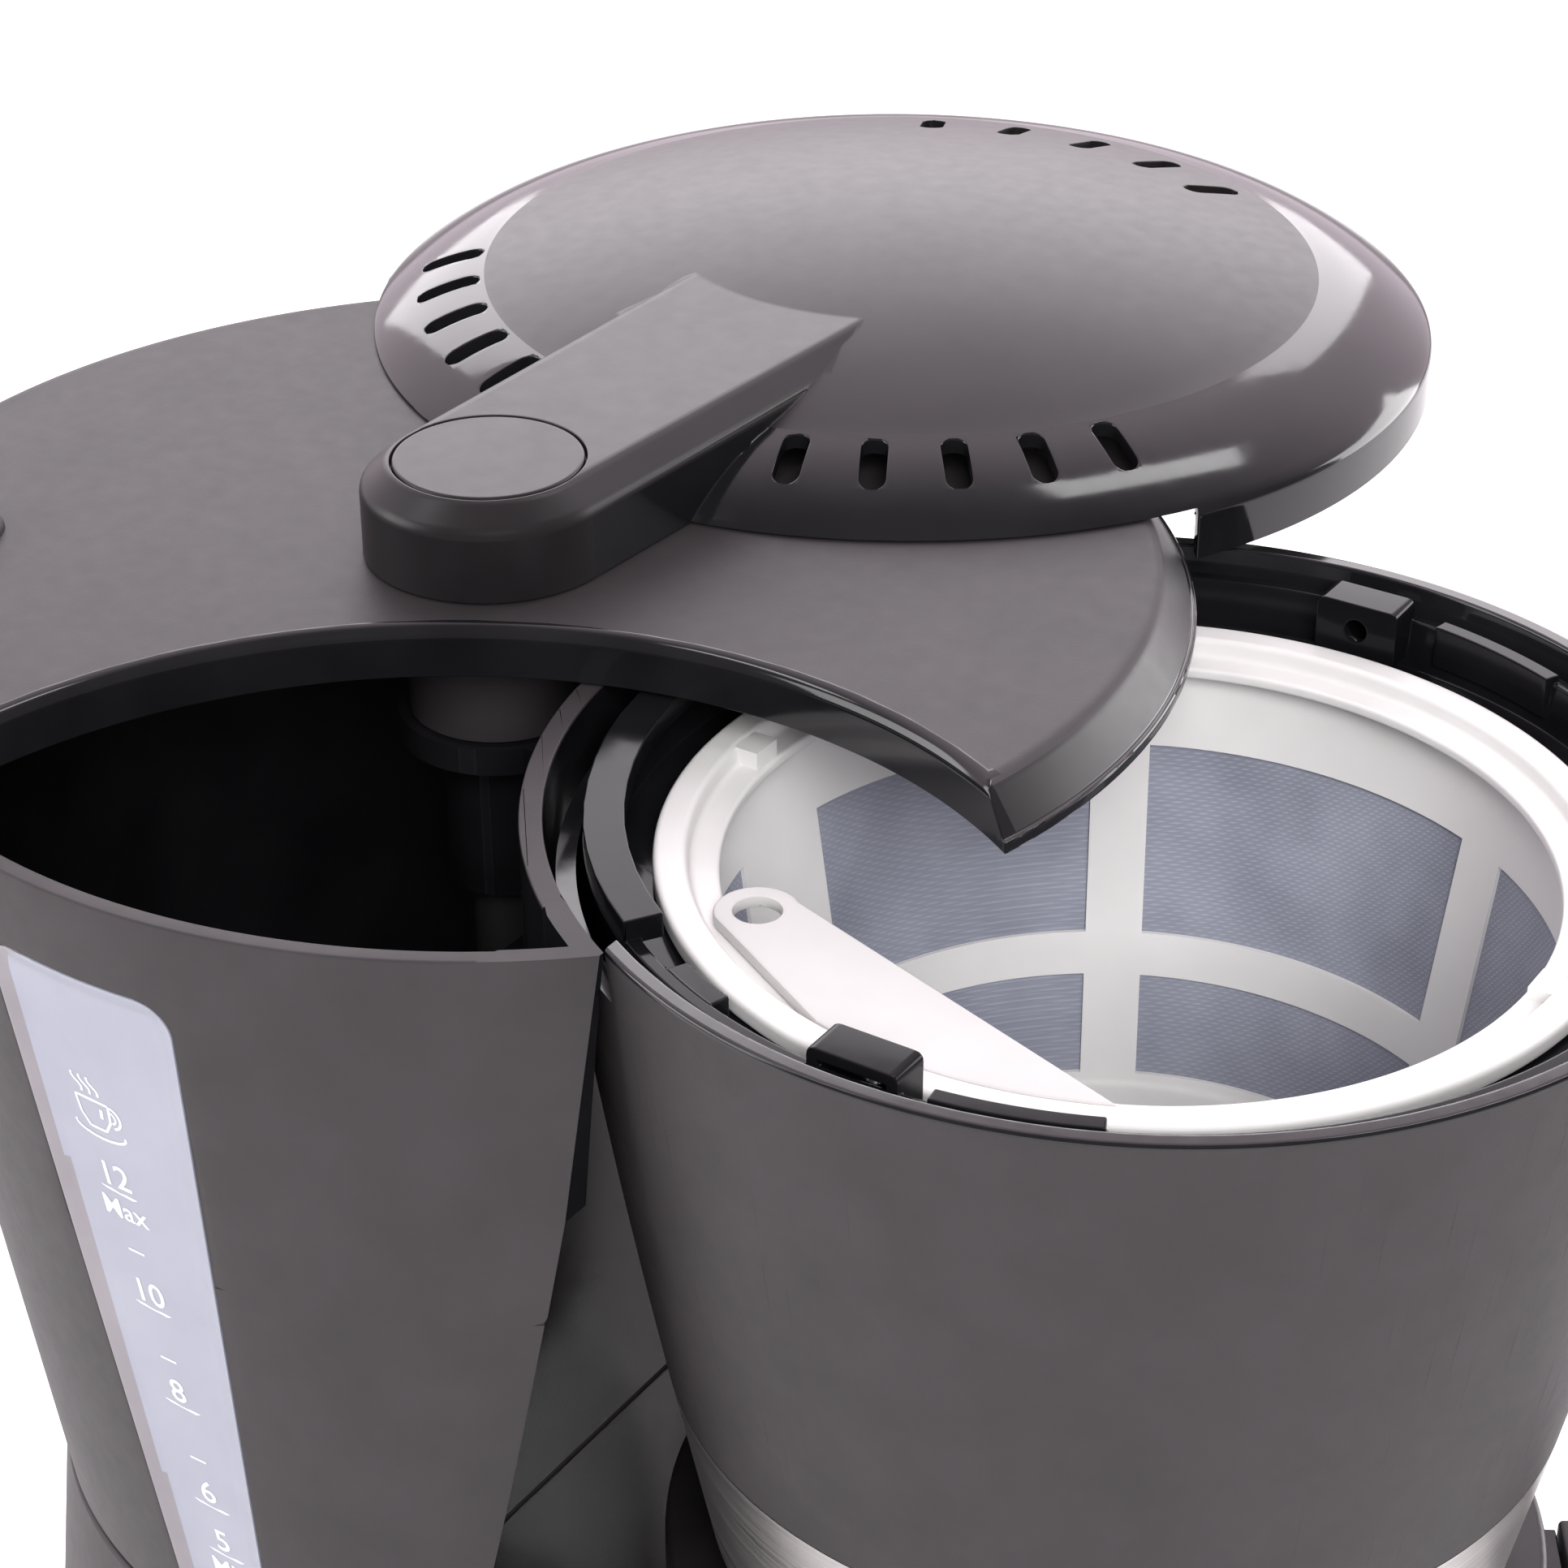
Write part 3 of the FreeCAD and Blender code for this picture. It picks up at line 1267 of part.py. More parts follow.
PIECES = (
    tank_body, water_window, pivot_bracket, riser_pipe, riser_grommet, outlet_strainer,
    cold_hose, hot_hose, tank_lid, swivel_cover, pivot_cap, shower_channel, retaining_ring,
    drum_housing, steel_band, filter_holder, filter_frame, filter_floor, filter_mesh,
    filter_handle,
    drip_valve, valve_seal, valve_cage, valve_spring,
    carafe_glass, carafe_collar, carafe_handle, collar_screw, carafe_lid,
    column_housing, base_housing, base_plate, rubber_feet, base_screws, hot_plate, hot_plate_seal,
    heater, heater_strap, heater_screws, thermostat, thermal_fuse, terminal_block,
    switch_frame, switch_rocker, switch_body, cord_grommet,
)


def main():
    os.makedirs("parts", exist_ok=True)
    for piece in PIECES:
        shape = piece()
        shape.exportStep(os.path.join("parts", piece.__name__ + ".step"))
        state = "valid" if shape.isValid() else "NOT VALID"
        print(piece.__name__, len(shape.Solids), "solids,", round(shape.Volume / 1000, 2), "cm3,", state)


main()
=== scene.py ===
# %% [markdown]
# # A drip coffee maker with its covers swung open
# The machine stands with its half-moon tank lid and its domed shower arm turned aside on one post, so that
# the tank and the filter can be seen from above. The CAD frame holds every piece at its real size. This
# file gives the pieces their looks: soft edges, moulded finishes, a net, a scale and a studio.

# %% Load the frame
import json
import math

import bmesh
import bpy
from mathutils import Matrix, Vector


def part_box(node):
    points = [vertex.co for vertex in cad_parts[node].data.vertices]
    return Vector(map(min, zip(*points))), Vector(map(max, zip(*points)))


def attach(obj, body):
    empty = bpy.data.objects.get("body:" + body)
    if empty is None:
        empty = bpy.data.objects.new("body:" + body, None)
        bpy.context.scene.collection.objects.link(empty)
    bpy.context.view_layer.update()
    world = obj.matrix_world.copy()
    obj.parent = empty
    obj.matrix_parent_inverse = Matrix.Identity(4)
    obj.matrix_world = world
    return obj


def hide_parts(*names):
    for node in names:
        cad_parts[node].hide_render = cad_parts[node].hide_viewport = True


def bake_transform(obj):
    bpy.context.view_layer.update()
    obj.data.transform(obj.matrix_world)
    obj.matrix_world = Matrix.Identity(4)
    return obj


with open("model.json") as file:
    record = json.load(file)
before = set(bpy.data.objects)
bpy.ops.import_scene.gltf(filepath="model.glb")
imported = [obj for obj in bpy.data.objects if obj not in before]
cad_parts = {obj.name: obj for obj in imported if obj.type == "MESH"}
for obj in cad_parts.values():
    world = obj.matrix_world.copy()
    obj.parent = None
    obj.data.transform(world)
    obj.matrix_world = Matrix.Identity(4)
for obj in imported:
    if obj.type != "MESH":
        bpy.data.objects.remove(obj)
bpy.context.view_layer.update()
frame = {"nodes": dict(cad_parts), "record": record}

print("nodes in the frame:", len(frame["nodes"]))

# %% [markdown]
# Moulded parts are easier to think about in millimetres, while Blender works in metres. Every size below is
# in millimetres, and one factor turns it into metres when a mesh is made. Places are read from the CAD
# nodes' boxes, so the looks stay on the frame.

# %% Millimetres and places
MM = 0.001


def corners(node):
    """Lowest and highest corner of a CAD node, in millimetres."""
    low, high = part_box(node)
    return low / MM, high / MM


RIM = corners("tank_body")[1].z
TANK_R = corners("tank_body")[1].x
TANK = (0.0, corners("tank_body")[1].y - TANK_R)
DRUM_R = corners("drum_housing")[1].x
DRUM = (0.0, (corners("steel_band")[0].y + corners("steel_band")[1].y) / 2)
POST = (0.0, 0.0)
print("rim height", round(RIM, 1), "drum axis", DRUM)

# %% [markdown]
# Real mouldings have no knife edges: every corner has a small radius that catches a line of light. One
# could bevel the finished mesh, but it is cleaner to round the profile before it is turned. A corner may
# bring its own reach as a third number.

# %% Rounded outlines
def soften(points, pieces=4):
    """Rounds the corners of a closed outline: a point is (a, b) or (a, b, reach of the rounding)."""
    soft = []
    for before, corner, after in zip(points[-1:] + points[:-1], points, points[1:] + points[:1]):
        here = Vector(corner[:2])
        if len(corner) == 2:
            soft.append(here)
            continue
        back = Vector(before[:2]) - here
        on = Vector(after[:2]) - here
        first = here + back.normalized() * min(corner[2], back.length * 0.48)
        last = here + on.normalized() * min(corner[2], on.length * 0.48)
        for i in range(pieces + 1):
            t = i / pieces
            soft.append(first * (1 - t) ** 2 + here * 2 * t * (1 - t) + last * t * t)
    return soft


def bow(start, end, bulge, pieces=12):
    """Points between start and end on a shallow curve that bulges to the right of that direction."""
    a = Vector(start)
    b = Vector(end)
    across = Vector((b.y - a.y, a.x - b.x)).normalized() * bulge
    shares = [i / pieces for i in range(1, pieces)]
    return [tuple(a.lerp(b, t) + across * 4 * t * (1 - t)) for t in shares]


def ring_points(radius, first=0.0, last=360.0, pieces=64, centre=(0.0, 0.0)):
    """Points on an arc, in degrees."""
    angles = [math.radians(first + (last - first) * i / pieces) for i in range(pieces + 1)]
    return [(centre[0] + radius * math.cos(a), centre[1] + radius * math.sin(a)) for a in angles]


print("a softened square has", len(soften([(0, 0, 1), (9, 0, 1), (9, 9, 1), (0, 9, 1)])), "points")

# %% [markdown]
# Three ways to make a solid cover this machine: a profile turned about an upright axis, an outline pulled
# straight, and a skin laid over a stack of sections. They give clean quads, which shade better than a
# sculpted or remeshed form would.

# %% Turned, pulled and stacked solids
STEPS = 256
SMALL_STEPS = 48
SAME_POINT = 1e-6


def make_piece(name, points, faces):
    """A mesh object from points in millimetres, with its faces turned outwards."""
    mesh = bpy.data.meshes.new(name)
    mesh.from_pydata([Vector(p) * MM for p in points], [], faces)
    work = bmesh.new()
    work.from_mesh(mesh)
    bmesh.ops.remove_doubles(work, verts=work.verts, dist=SAME_POINT)
    bmesh.ops.recalc_face_normals(work, faces=work.faces)
    work.to_mesh(mesh)
    work.free()
    piece = bpy.data.objects.new(name, mesh)
    bpy.context.scene.collection.objects.link(piece)
    return piece


def loft(name, loops, closed=False):
    """A skin over loops of equally many points; open stacks get flat ends."""
    count = len(loops[0])
    points = [p for loop in loops for p in loop]
    faces = []
    pairs = list(zip(range(len(loops)), range(1, len(loops))))
    if closed:
        pairs.append((len(loops) - 1, 0))
    else:
        faces.append(tuple(reversed(range(count))))
        faces.append(tuple(range(len(points) - count, len(points))))
    for low, high in pairs:
        for i in range(count):
            j = (i + 1) % count
            faces.append((low * count + i, low * count + j, high * count + j, high * count + i))
    return make_piece(name, points, faces)


def lathe(name, profile, centre=POST, steps=STEPS):
    """A closed (radius, height) profile turned about the upright axis at centre."""
    loops = []
    for i in range(steps):
        a = 2 * math.pi * i / steps
        loops.append([(centre[0] + r * math.cos(a), centre[1] + r * math.sin(a), z) for r, z in profile])
    return loft(name, loops, closed=True)


def prism(name, plan, low, high):
    """A plan outline pulled straight up."""
    return loft(name, [[(x, y, z) for x, y in plan] for z in (low, high)])


def slab(name, outline, first, last):
    """An outline of (y, z) corners pulled along x."""
    return loft(name, [[(x, y, z) for y, z in outline] for x in (first, last)])


def rod(radius, low, high, centre, steps=STEPS):
    return lathe("tool", [(0, low), (radius, low), (radius, high), (0, high)], centre, steps)


def block(x0, x1, y0, y1, z0, z1):
    return prism("tool", [(x0, y0), (x1, y0), (x1, y1), (x0, y1)], z0, z1)


def turn(piece, angle, centre=POST):
    """Turn a mesh in place about an upright axis."""
    hub = Matrix.Translation((centre[0] * MM, centre[1] * MM, 0))
    piece.data.transform(hub @ Matrix.Rotation(math.radians(angle), 4, "Z") @ hub.inverted())
    return piece


def shift(piece, x, y, z=0.0):
    piece.data.transform(Matrix.Translation(Vector((x, y, z)) * MM))
    return piece


print("turned solids have", STEPS, "steps")

# %% [markdown]
# Openings are cut as a moulding tool would leave them, with solids taken away from solids. The cut leaves
# sharp rims and a few sliver faces, so the slivers are merged and the rims get a small bevel before the
# piece is shaded.

# %% Carving and easing
def settle(piece):
    """Make the modifiers' result the piece's own mesh."""
    bpy.context.view_layer.update()
    ready = piece.evaluated_get(bpy.context.evaluated_depsgraph_get())
    mesh = bpy.data.meshes.new_from_object(ready)
    piece.modifiers.clear()
    piece.data = mesh
    return piece


def carve(piece, *tools, how="DIFFERENCE"):
    """Take solids away from a piece one by one, or join them to it."""
    for tool in tools:
        change = piece.modifiers.new("carve", "BOOLEAN")
        change.operation = how
        change.solver = "MANIFOLD"
        change.object = tool
        settle(piece)
        bpy.data.objects.remove(tool)
    return piece


def join_flat_faces(work, flat):
    """Merge faces that lie in one plane, but not across the middle of the machine."""
    for face in work.faces:
        face.material_index = int(face.calc_center_median().x > 0)
    bmesh.ops.dissolve_limit(work, angle_limit=math.radians(flat), verts=work.verts, edges=work.edges,
                             delimit={"MATERIAL"})
    for face in work.faces:
        face.material_index = 0


def ease(piece, width=0.35, sliver=0.12, flat=0.3, sharp=32.0, keep=None):
    """Merge slivers, round the sharp edges but those that keep names, and shade the rest smooth."""
    work = bmesh.new()
    work.from_mesh(piece.data)
    bmesh.ops.remove_doubles(work, verts=work.verts, dist=sliver * MM)
    bmesh.ops.dissolve_degenerate(work, edges=work.edges, dist=sliver * MM / 2)
    if flat:
        join_flat_faces(work, flat)
    weight = work.edges.layers.float.new("bevel_weight_edge")
    for edge in work.edges:
        middle = (edge.verts[0].co + edge.verts[1].co) / 2 / MM
        turned = edge.is_manifold and edge.calc_face_angle() > math.radians(sharp)
        edge[weight] = float(turned and not (keep and keep(middle)))
    work.to_mesh(piece.data)
    work.free()
    if width:
        bevel = piece.modifiers.new("ease", "BEVEL")
        bevel.limit_method = "WEIGHT"
        bevel.width = width * MM
        bevel.segments = 2
        bevel.use_clamp_overlap = False
    settle(piece)
    return shade(piece)


def shade(piece, sharp=40.0):
    """Smooth shading with hard lines only where faces meet at more than sharp degrees."""
    piece.data.polygons.foreach_set("use_smooth", [True] * len(piece.data.polygons))
    piece.data.set_sharp_from_angle(angle=math.radians(sharp))
    normals = piece.modifiers.new("even normals", "WEIGHTED_NORMAL")
    normals.keep_sharp = True
    return settle(piece)


print("carving and easing are ready")

# %% [markdown]
# A finish is more than a colour. Each one here has a shader whose even values sit on its own sockets, a
# soft mottle in tone and gloss, and a grain of the size that the real surface has. The texture runs in the
# object's own space, so it stays put at every pose.

# %% Finish helpers
EVEN = (1.0, 1.0, 1.0)
BLOTCH = 14.0
GLOSS_BLOTCH = 3.0
GLOSS_SPREAD = 0.05


def new_finish(name, rough, metal=0.0, level=0.5):
    """A material with its even values set, and its shader."""
    finish = bpy.data.materials.new(name)
    finish.use_nodes = True
    shader = finish.node_tree.nodes["Principled BSDF"]
    shader.inputs["Roughness"].default_value = rough
    shader.inputs["Metallic"].default_value = metal
    shader.inputs["Specular IOR Level"].default_value = level
    return finish, shader


def add(finish, kind, **values):
    node = finish.node_tree.nodes.new(kind)
    for socket, value in values.items():
        node.inputs[socket].default_value = value
    return node


def join(finish, source, output, target, socket):
    finish.node_tree.links.new(source.outputs[output], target.inputs[socket])


def calculate(finish, operation):
    node = add(finish, "ShaderNodeMath")
    node.operation = operation
    return node


def noise_of(finish, size, detail=2.0, stretch=EVEN):
    """Noise whose blotches are about size millimetres across."""
    place = add(finish, "ShaderNodeTexCoord")
    scale = add(finish, "ShaderNodeMapping", Scale=stretch)
    cloud = add(finish, "ShaderNodeTexNoise", Scale=1 / (size * MM), Detail=detail)
    join(finish, place, "Object", scale, "Vector")
    join(finish, scale, "Vector", cloud, "Vector")
    return cloud


def two_tones(finish, dark, light, start=0.3, end=0.7):
    """A ramp from one tone to another, between two levels of its input."""
    ramp = add(finish, "ShaderNodeValToRGB")
    low, high = ramp.color_ramp.elements
    low.position = start
    high.position = end
    low.color = (*dark, 1.0)
    high.color = (*light, 1.0)
    return ramp


def mottle(finish, shader, dark, light, size, stretch=EVEN):
    """Two close tones, in soft blotches."""
    ramp = two_tones(finish, dark, light)
    join(finish, noise_of(finish, size, 3.0, stretch), "Fac", ramp, "Fac")
    join(finish, ramp, "Color", shader, "Base Color")


def vary_gloss(finish, shader, low, high, size, stretch=EVEN):
    """Roughness that wanders between two values."""
    spread = add(finish, "ShaderNodeMapRange")
    spread.inputs["To Min"].default_value = low
    spread.inputs["To Max"].default_value = high
    join(finish, noise_of(finish, size, 4.0, stretch), "Fac", spread, "Value")
    join(finish, spread, "Result", shader, "Roughness")


def relief(finish, shader, source, output, depth):
    """A bump from a node's output, depth millimetres high."""
    bump = add(finish, "ShaderNodeBump", Distance=depth * MM)
    join(finish, source, output, bump, "Height")
    join(finish, bump, "Normal", shader, "Normal")


def grain(finish, shader, size, depth, stretch=EVEN):
    relief(finish, shader, noise_of(finish, size, 2.0, stretch), "Fac", depth)


def moulded(name, dark, light, rough, size, depth, level=0.5):
    """A moulded plastic: two tones, a gloss, and a grain of a size and a depth."""
    finish, shader = new_finish(name, rough, level=level)
    mottle(finish, shader, dark, light, BLOTCH)
    vary_gloss(finish, shader, rough - GLOSS_SPREAD, rough + GLOSS_SPREAD, GLOSS_BLOTCH)
    grain(finish, shader, size, depth)
    return finish


print("finish helpers are ready")

# %% [markdown]
# The casings are black, but not one black: spark-eroded mould faces come out dull and warm grey in the
# light, polished faces mirror the studio, and the dome lies between the two. The holder in its narrow gap,
# the tank's ring round the drum and the tank's trimmed front edge get the darkest black with little gloss:
# painted shade for the gaps between the parts. Feet and warming plate have blacks of their own.

# %% Blacks
dull_black = moulded("dull_black", (0.026, 0.023, 0.0245), (0.033, 0.029, 0.031),
                     rough=0.52, size=0.45, depth=0.012, level=0.36)
satin_black = moulded("satin_black", (0.010, 0.009, 0.010), (0.015, 0.013, 0.014),
                      rough=0.36, size=0.7, depth=0.004, level=0.32)
bay_black = moulded("bay_black", (0.008, 0.007, 0.007), (0.012, 0.011, 0.011),
                    rough=0.18, size=2.0, depth=0.002, level=0.08)
polished_black = moulded("polished_black", (0.006, 0.006, 0.007), (0.010, 0.010, 0.011),
                         rough=0.10, size=2.0, depth=0.002)
# The darkest black, with little gloss, is painted shade for parts in narrow gaps.
painted_shade_black = moulded("painted_shade_black", (0.004, 0.004, 0.005), (0.007, 0.007, 0.008),
                     rough=0.12, size=2.0, depth=0.002, level=0.14)
rubber_black = moulded("rubber_black", (0.018, 0.018, 0.018), (0.026, 0.026, 0.026),
                       rough=0.75, size=0.6, depth=0.02, level=0.3)
plate_black = moulded("plate_black", (0.016, 0.016, 0.017), (0.024, 0.024, 0.025),
                      rough=0.42, size=0.3, depth=0.012)
print("blacks:", dull_black.name, satin_black.name, polished_black.name, painted_shade_black.name)

# %% [markdown]
# The filter is white and slightly waxy, and its lifting tab is a greyer copy of the same white: painted
# shade, which keeps the tab from washing out under the lamps. The window is frosted with a cold blue cast,
# the hoses are milky, and the screws and the heater are bare metal. Brushed steel has fine lines round the
# drum, made by noise that is drawn out sideways.

# %% Whites and tubes
white_plastic = moulded("white_plastic", (0.64, 0.625, 0.62), (0.68, 0.665, 0.66),
                        rough=0.38, size=1.2, depth=0.004)
# A greyer copy of the white, as painted shade for the lifting tab.
painted_shade_white = moulded("painted_shade_white", (0.46, 0.45, 0.445), (0.49, 0.48, 0.475),
                       rough=0.38, size=1.2, depth=0.004)
white_ink = moulded("white_ink", (0.86, 0.86, 0.88), (0.90, 0.90, 0.92),
                    rough=0.5, size=0.4, depth=0.002)
dark_tube = moulded("dark_tube", (0.016, 0.016, 0.016), (0.024, 0.024, 0.024),
                    rough=0.4, size=1.0, depth=0.006)
milky_tube = moulded("milky_tube", (0.60, 0.60, 0.58), (0.68, 0.68, 0.66),
                     rough=0.45, size=1.0, depth=0.006)
print("whites:", white_plastic.name, painted_shade_white.name, white_ink.name)

# %% Frosted window and glass
FROST_BLOTCH = 18.0
FROST_GRAIN = 0.5
FROST_DEPTH = 0.006
GLASS_INDEX = 1.47
GLASS_RIPPLE = 25.0
GLASS_RIPPLE_DEPTH = 0.03


def frosted_finish(name, rough, dark, light):
    finish, shader = new_finish(name, rough)
    mottle(finish, shader, dark, light, FROST_BLOTCH)
    grain(finish, shader, FROST_GRAIN, FROST_DEPTH)
    return finish


frosted = frosted_finish("frosted_window", 0.42, (0.30, 0.31, 0.375), (0.34, 0.35, 0.415))
# A darker frost for the window's back border: painted shade.
frosted_painted_shade = frosted_finish("frosted_painted_shade", 0.35, (0.22, 0.20, 0.22), (0.27, 0.25, 0.27))

clear_glass, glass_shader = new_finish("clear_glass", 0.02)
glass_shader.inputs["Transmission Weight"].default_value = 1.0
glass_shader.inputs["IOR"].default_value = GLASS_INDEX
mottle(clear_glass, glass_shader, (0.93, 0.96, 0.95), (0.97, 0.985, 0.98), 30.0)
grain(clear_glass, glass_shader, GLASS_RIPPLE, GLASS_RIPPLE_DEPTH)
print("clears:", frosted.name, frosted_painted_shade.name, clear_glass.name)

# %% Metals
BRUSHED = (0.04, 0.04, 3.0)
METAL_DEPTH = 0.004
METAL_DULLEST = 0.1
METAL_BRIGHTEST = 0.08


def bare_metal(name, dark, light, rough, stretch, size):
    finish, shader = new_finish(name, rough, metal=1.0)
    mottle(finish, shader, dark, light, size, stretch)
    vary_gloss(finish, shader, rough - METAL_BRIGHTEST, rough + METAL_DULLEST, size, stretch)
    grain(finish, shader, size, METAL_DEPTH, stretch)
    return finish


brushed_steel = bare_metal("brushed_steel", (0.50, 0.48, 0.47), (0.66, 0.64, 0.63), 0.30, BRUSHED, 1.2)
zinc_plate = bare_metal("zinc_plate", (0.46, 0.47, 0.49), (0.58, 0.59, 0.61), 0.34, EVEN, 1.5)
cast_metal = bare_metal("cast_metal", (0.42, 0.42, 0.43), (0.54, 0.54, 0.55), 0.55, EVEN, 0.8)
print("metals:", brushed_steel.name, zinc_plate.name, cast_metal.name)

# %% [markdown]
# The filter's net is woven nylon. Its threads are too fine to model, so two crossed wave textures make the
# weave: one runs round the basket and one along its height. A slow noise paints lighter and darker patches
# into the net's colour: a painted sheen where crinkles in the net would catch the light.

# %% Woven net
THREAD = 0.32
WAVE_UNIT = 6.28
THREAD_SHARE = 0.3
PAINTED_SHEEN_BLOTCH = 16.0
NET_GLOSS = (0.38, 0.6)
NET_GLOSS_BLOTCH = 9.0
NET_RELIEF = 0.05


def threads(finish, place, direction):
    """One set of threads, as waves along a direction."""
    wave = add(finish, "ShaderNodeTexWave", Scale=1 / (THREAD * MM) / WAVE_UNIT)
    wave.bands_direction = direction
    join(finish, place, "Object", wave, "Vector")
    return wave


def weave(name, dark, light):
    finish, shader = new_finish(name, 0.5, level=0.4)
    place = add(finish, "ShaderNodeTexCoord")
    cross = calculate(finish, "MULTIPLY")
    join(finish, threads(finish, place, "DIAGONAL"), "Fac", cross, 0)
    join(finish, threads(finish, place, "Z"), "Fac", cross, 1)
    blend = calculate(finish, "MULTIPLY_ADD")
    blend.inputs[1].default_value = THREAD_SHARE
    join(finish, cross, "Value", blend, 0)
    # The slow noise in the net's colour is a painted sheen.
    join(finish, noise_of(finish, PAINTED_SHEEN_BLOTCH, 3.0), "Fac", blend, 2)
    ramp = two_tones(finish, dark, light, 0.25, 0.95)
    join(finish, blend, "Value", ramp, "Fac")
    join(finish, ramp, "Color", shader, "Base Color")
    vary_gloss(finish, shader, *NET_GLOSS, NET_GLOSS_BLOTCH)
    relief(finish, shader, cross, "Value", NET_RELIEF)
    return finish


net = weave("nylon_net", (0.185, 0.195, 0.24), (0.34, 0.355, 0.42))
print("net thread pitch", THREAD, "mm")

# %% [markdown]
# A piece is finished by one call: it takes its material, rides on its body and stands for its CAD node.
# Some mouldings have two finishes, so faces can be painted by where they lie.

# %% Dressing a piece
def dress(piece, body, node, finish):
    piece.data.materials.clear()
    piece.data.materials.append(finish)
    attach(piece, body)
    if node:
        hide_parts(node)
    print(piece.name, "on", body, "faces:", len(piece.data.polygons))
    return piece


def paint(piece, finish, chosen):
    """Give a second finish to the faces for which chosen(middle, normal) is true, in millimetres."""
    piece.data.materials.append(finish)
    number = len(piece.data.materials) - 1
    for face in piece.data.polygons:
        if chosen(face.center / MM, face.normal):
            face.material_index = number


def away(point, centre):
    """Distance of a point from an upright axis."""
    return math.hypot(point.x - centre[0], point.y - centre[1])


print("dressing is ready")

# %% [markdown]
# The tank is a tapered cup. Its front is bitten out twice: by the straight-sided bay below, and by the ring
# that holds the drum above. The same two bites, a wall thicker, shape the water space. A wedge trims the
# front edges, so that they run from the waist to the rim in one line.

# %% Tank
WALL = 2.5
FIT = 0.3
SEAM = 1.2
TAPER = 0.13
SHELF = RIM - 42.0
WAIST = corners("column_housing")[1].z + SEAM
TANK_FLOOR = 142.0
BAY_HALF = 65.0
BAY_BACK = -18.5
BAY_CORNER = 9.0
RING_R = DRUM_R + FIT
RING_BACK = RING_R + 3.0
RISER_HOLE_R = 7.6
EDGE_SPREAD = 0.9
SLACK = 0.4
SKIN = 0.8
FAR = 400.0
WALL_ROWS = (0.0, 0.03, 0.3, 0.55, 0.8, 0.97, 1.0)


def tank_radius(z):
    return TANK_R - TAPER * (RIM - z)


def bay(grow, low, high):
    half = BAY_HALF + grow
    back = BAY_BACK + grow
    round_off = BAY_CORNER + grow
    plan = soften([(-half, -FAR), (half, -FAR), (half, back, round_off), (-half, back, round_off)], 10)
    return prism("tool", plan, low, high)


def edge_y(half, z):
    """Front edge of the tank's side, half millimetres beside the middle, as y at a height."""
    return TANK[1] - math.sqrt(tank_radius(z) ** 2 - half ** 2)


EDGE_TOP = edge_y(BAY_HALF + EDGE_SPREAD, RIM)
EDGE_LOW = edge_y(BAY_HALF, SHELF)


def edge_cut():
    """Wedge that carries the bay's front edges up to the rim in one line."""
    lean = (EDGE_TOP - EDGE_LOW) / (RIM - SHELF)
    side = [(-FAR, SHELF - 1), (EDGE_LOW - lean, SHELF - 1), (EDGE_TOP + lean, RIM + 1), (-FAR, RIM + 1)]
    return slab("tool", side, -FAR, FAR)


def tank_shell():
    step = WAIST + WALL
    spigot_r = tank_radius(WAIST) - WALL - FIT
    heights = [WAIST + (RIM - WAIST) * share for share in WALL_ROWS]
    skin = [(tank_radius(z), z) for z in heights]
    shell = lathe("tank_shell", [(0, WAIST), *skin, (0, RIM)], TANK)
    carve(shell, bay(0, WAIST - 1, SHELF), rod(RING_R, SHELF - 1, RIM + 1, DRUM), edge_cut())
    low_r = tank_radius(step) - WALL
    high_r = tank_radius(RIM + 1) - WALL
    water = lathe("tool", [(0, step), (low_r, step), (high_r, RIM + 1), (0, RIM + 1)], TANK)
    carve(water, bay(WALL, step - 1, SHELF + WALL), rod(RING_BACK, SHELF, RIM + 2, DRUM))
    carve(shell, water)
    spigot = carve(rod(spigot_r, TANK_FLOOR, step - 0.5, TANK), bay(WALL + FIT, TANK_FLOOR - 1, step))
    carve(shell, spigot, how="UNION")
    sump = rod(spigot_r - WALL, TANK_FLOOR + WALL, step + 1, TANK)
    carve(shell, carve(sump, bay(2 * WALL + FIT, TANK_FLOOR, step + 2)))
    carve(shell, rod(RISER_HOLE_R, TANK_FLOOR - 1, TANK_FLOOR + 2 * WALL, POST, SMALL_STEPS))
    return shell


def in_water(p, n):
    """Whether a face looks into the water space."""
    if away(p, TANK) > tank_radius(p.z) - WALL + SLACK or p.z > RIM - 0.5:
        return False
    return away(p, DRUM) > RING_BACK - SLACK if p.z > SHELF else p.y > BAY_BACK + WALL - SLACK


def in_bay(p, n):
    """Whether a face looks into the polished bay."""
    inside = abs(p.x) < BAY_HALF + SLACK and p.y < BAY_BACK + SLACK
    return inside and p.z < SHELF and away(p, TANK) < tank_radius(p.z) - SKIN


def on_ring(p, n):
    """Whether a face stands round the drum."""
    return p.z < RIM - 0.5 and away(p, DRUM) < RING_R + 0.5


def on_trimmed_edge(p, n):
    """Whether a face belongs to the trimmed front edge."""
    return p.z > SHELF and p.y < EDGE_LOW and n.y < -0.9


def thin_tip(p):
    """Whether an edge lies where the wall runs out thin, so that a bevel would overshoot."""
    return abs(p.z - SHELF) < WALL + 1 or p.z < WAIST + 1 or p.y < EDGE_LOW + 4


tank = tank_shell()
print("tank wall at the waist:", round(tank_radius(WAIST), 1), "mm from its axis")

# %% [markdown]
# The water window is a frosted strip let into the left wall. Its outline is wider at the top, and its face
# is sunk by a millimetre inside a bevelled border. The border on its back side is painted darker, as painted
# shade. A grid of points over the outline, with a depth that falls off at the edge, gives face, border and
# curve in one go.

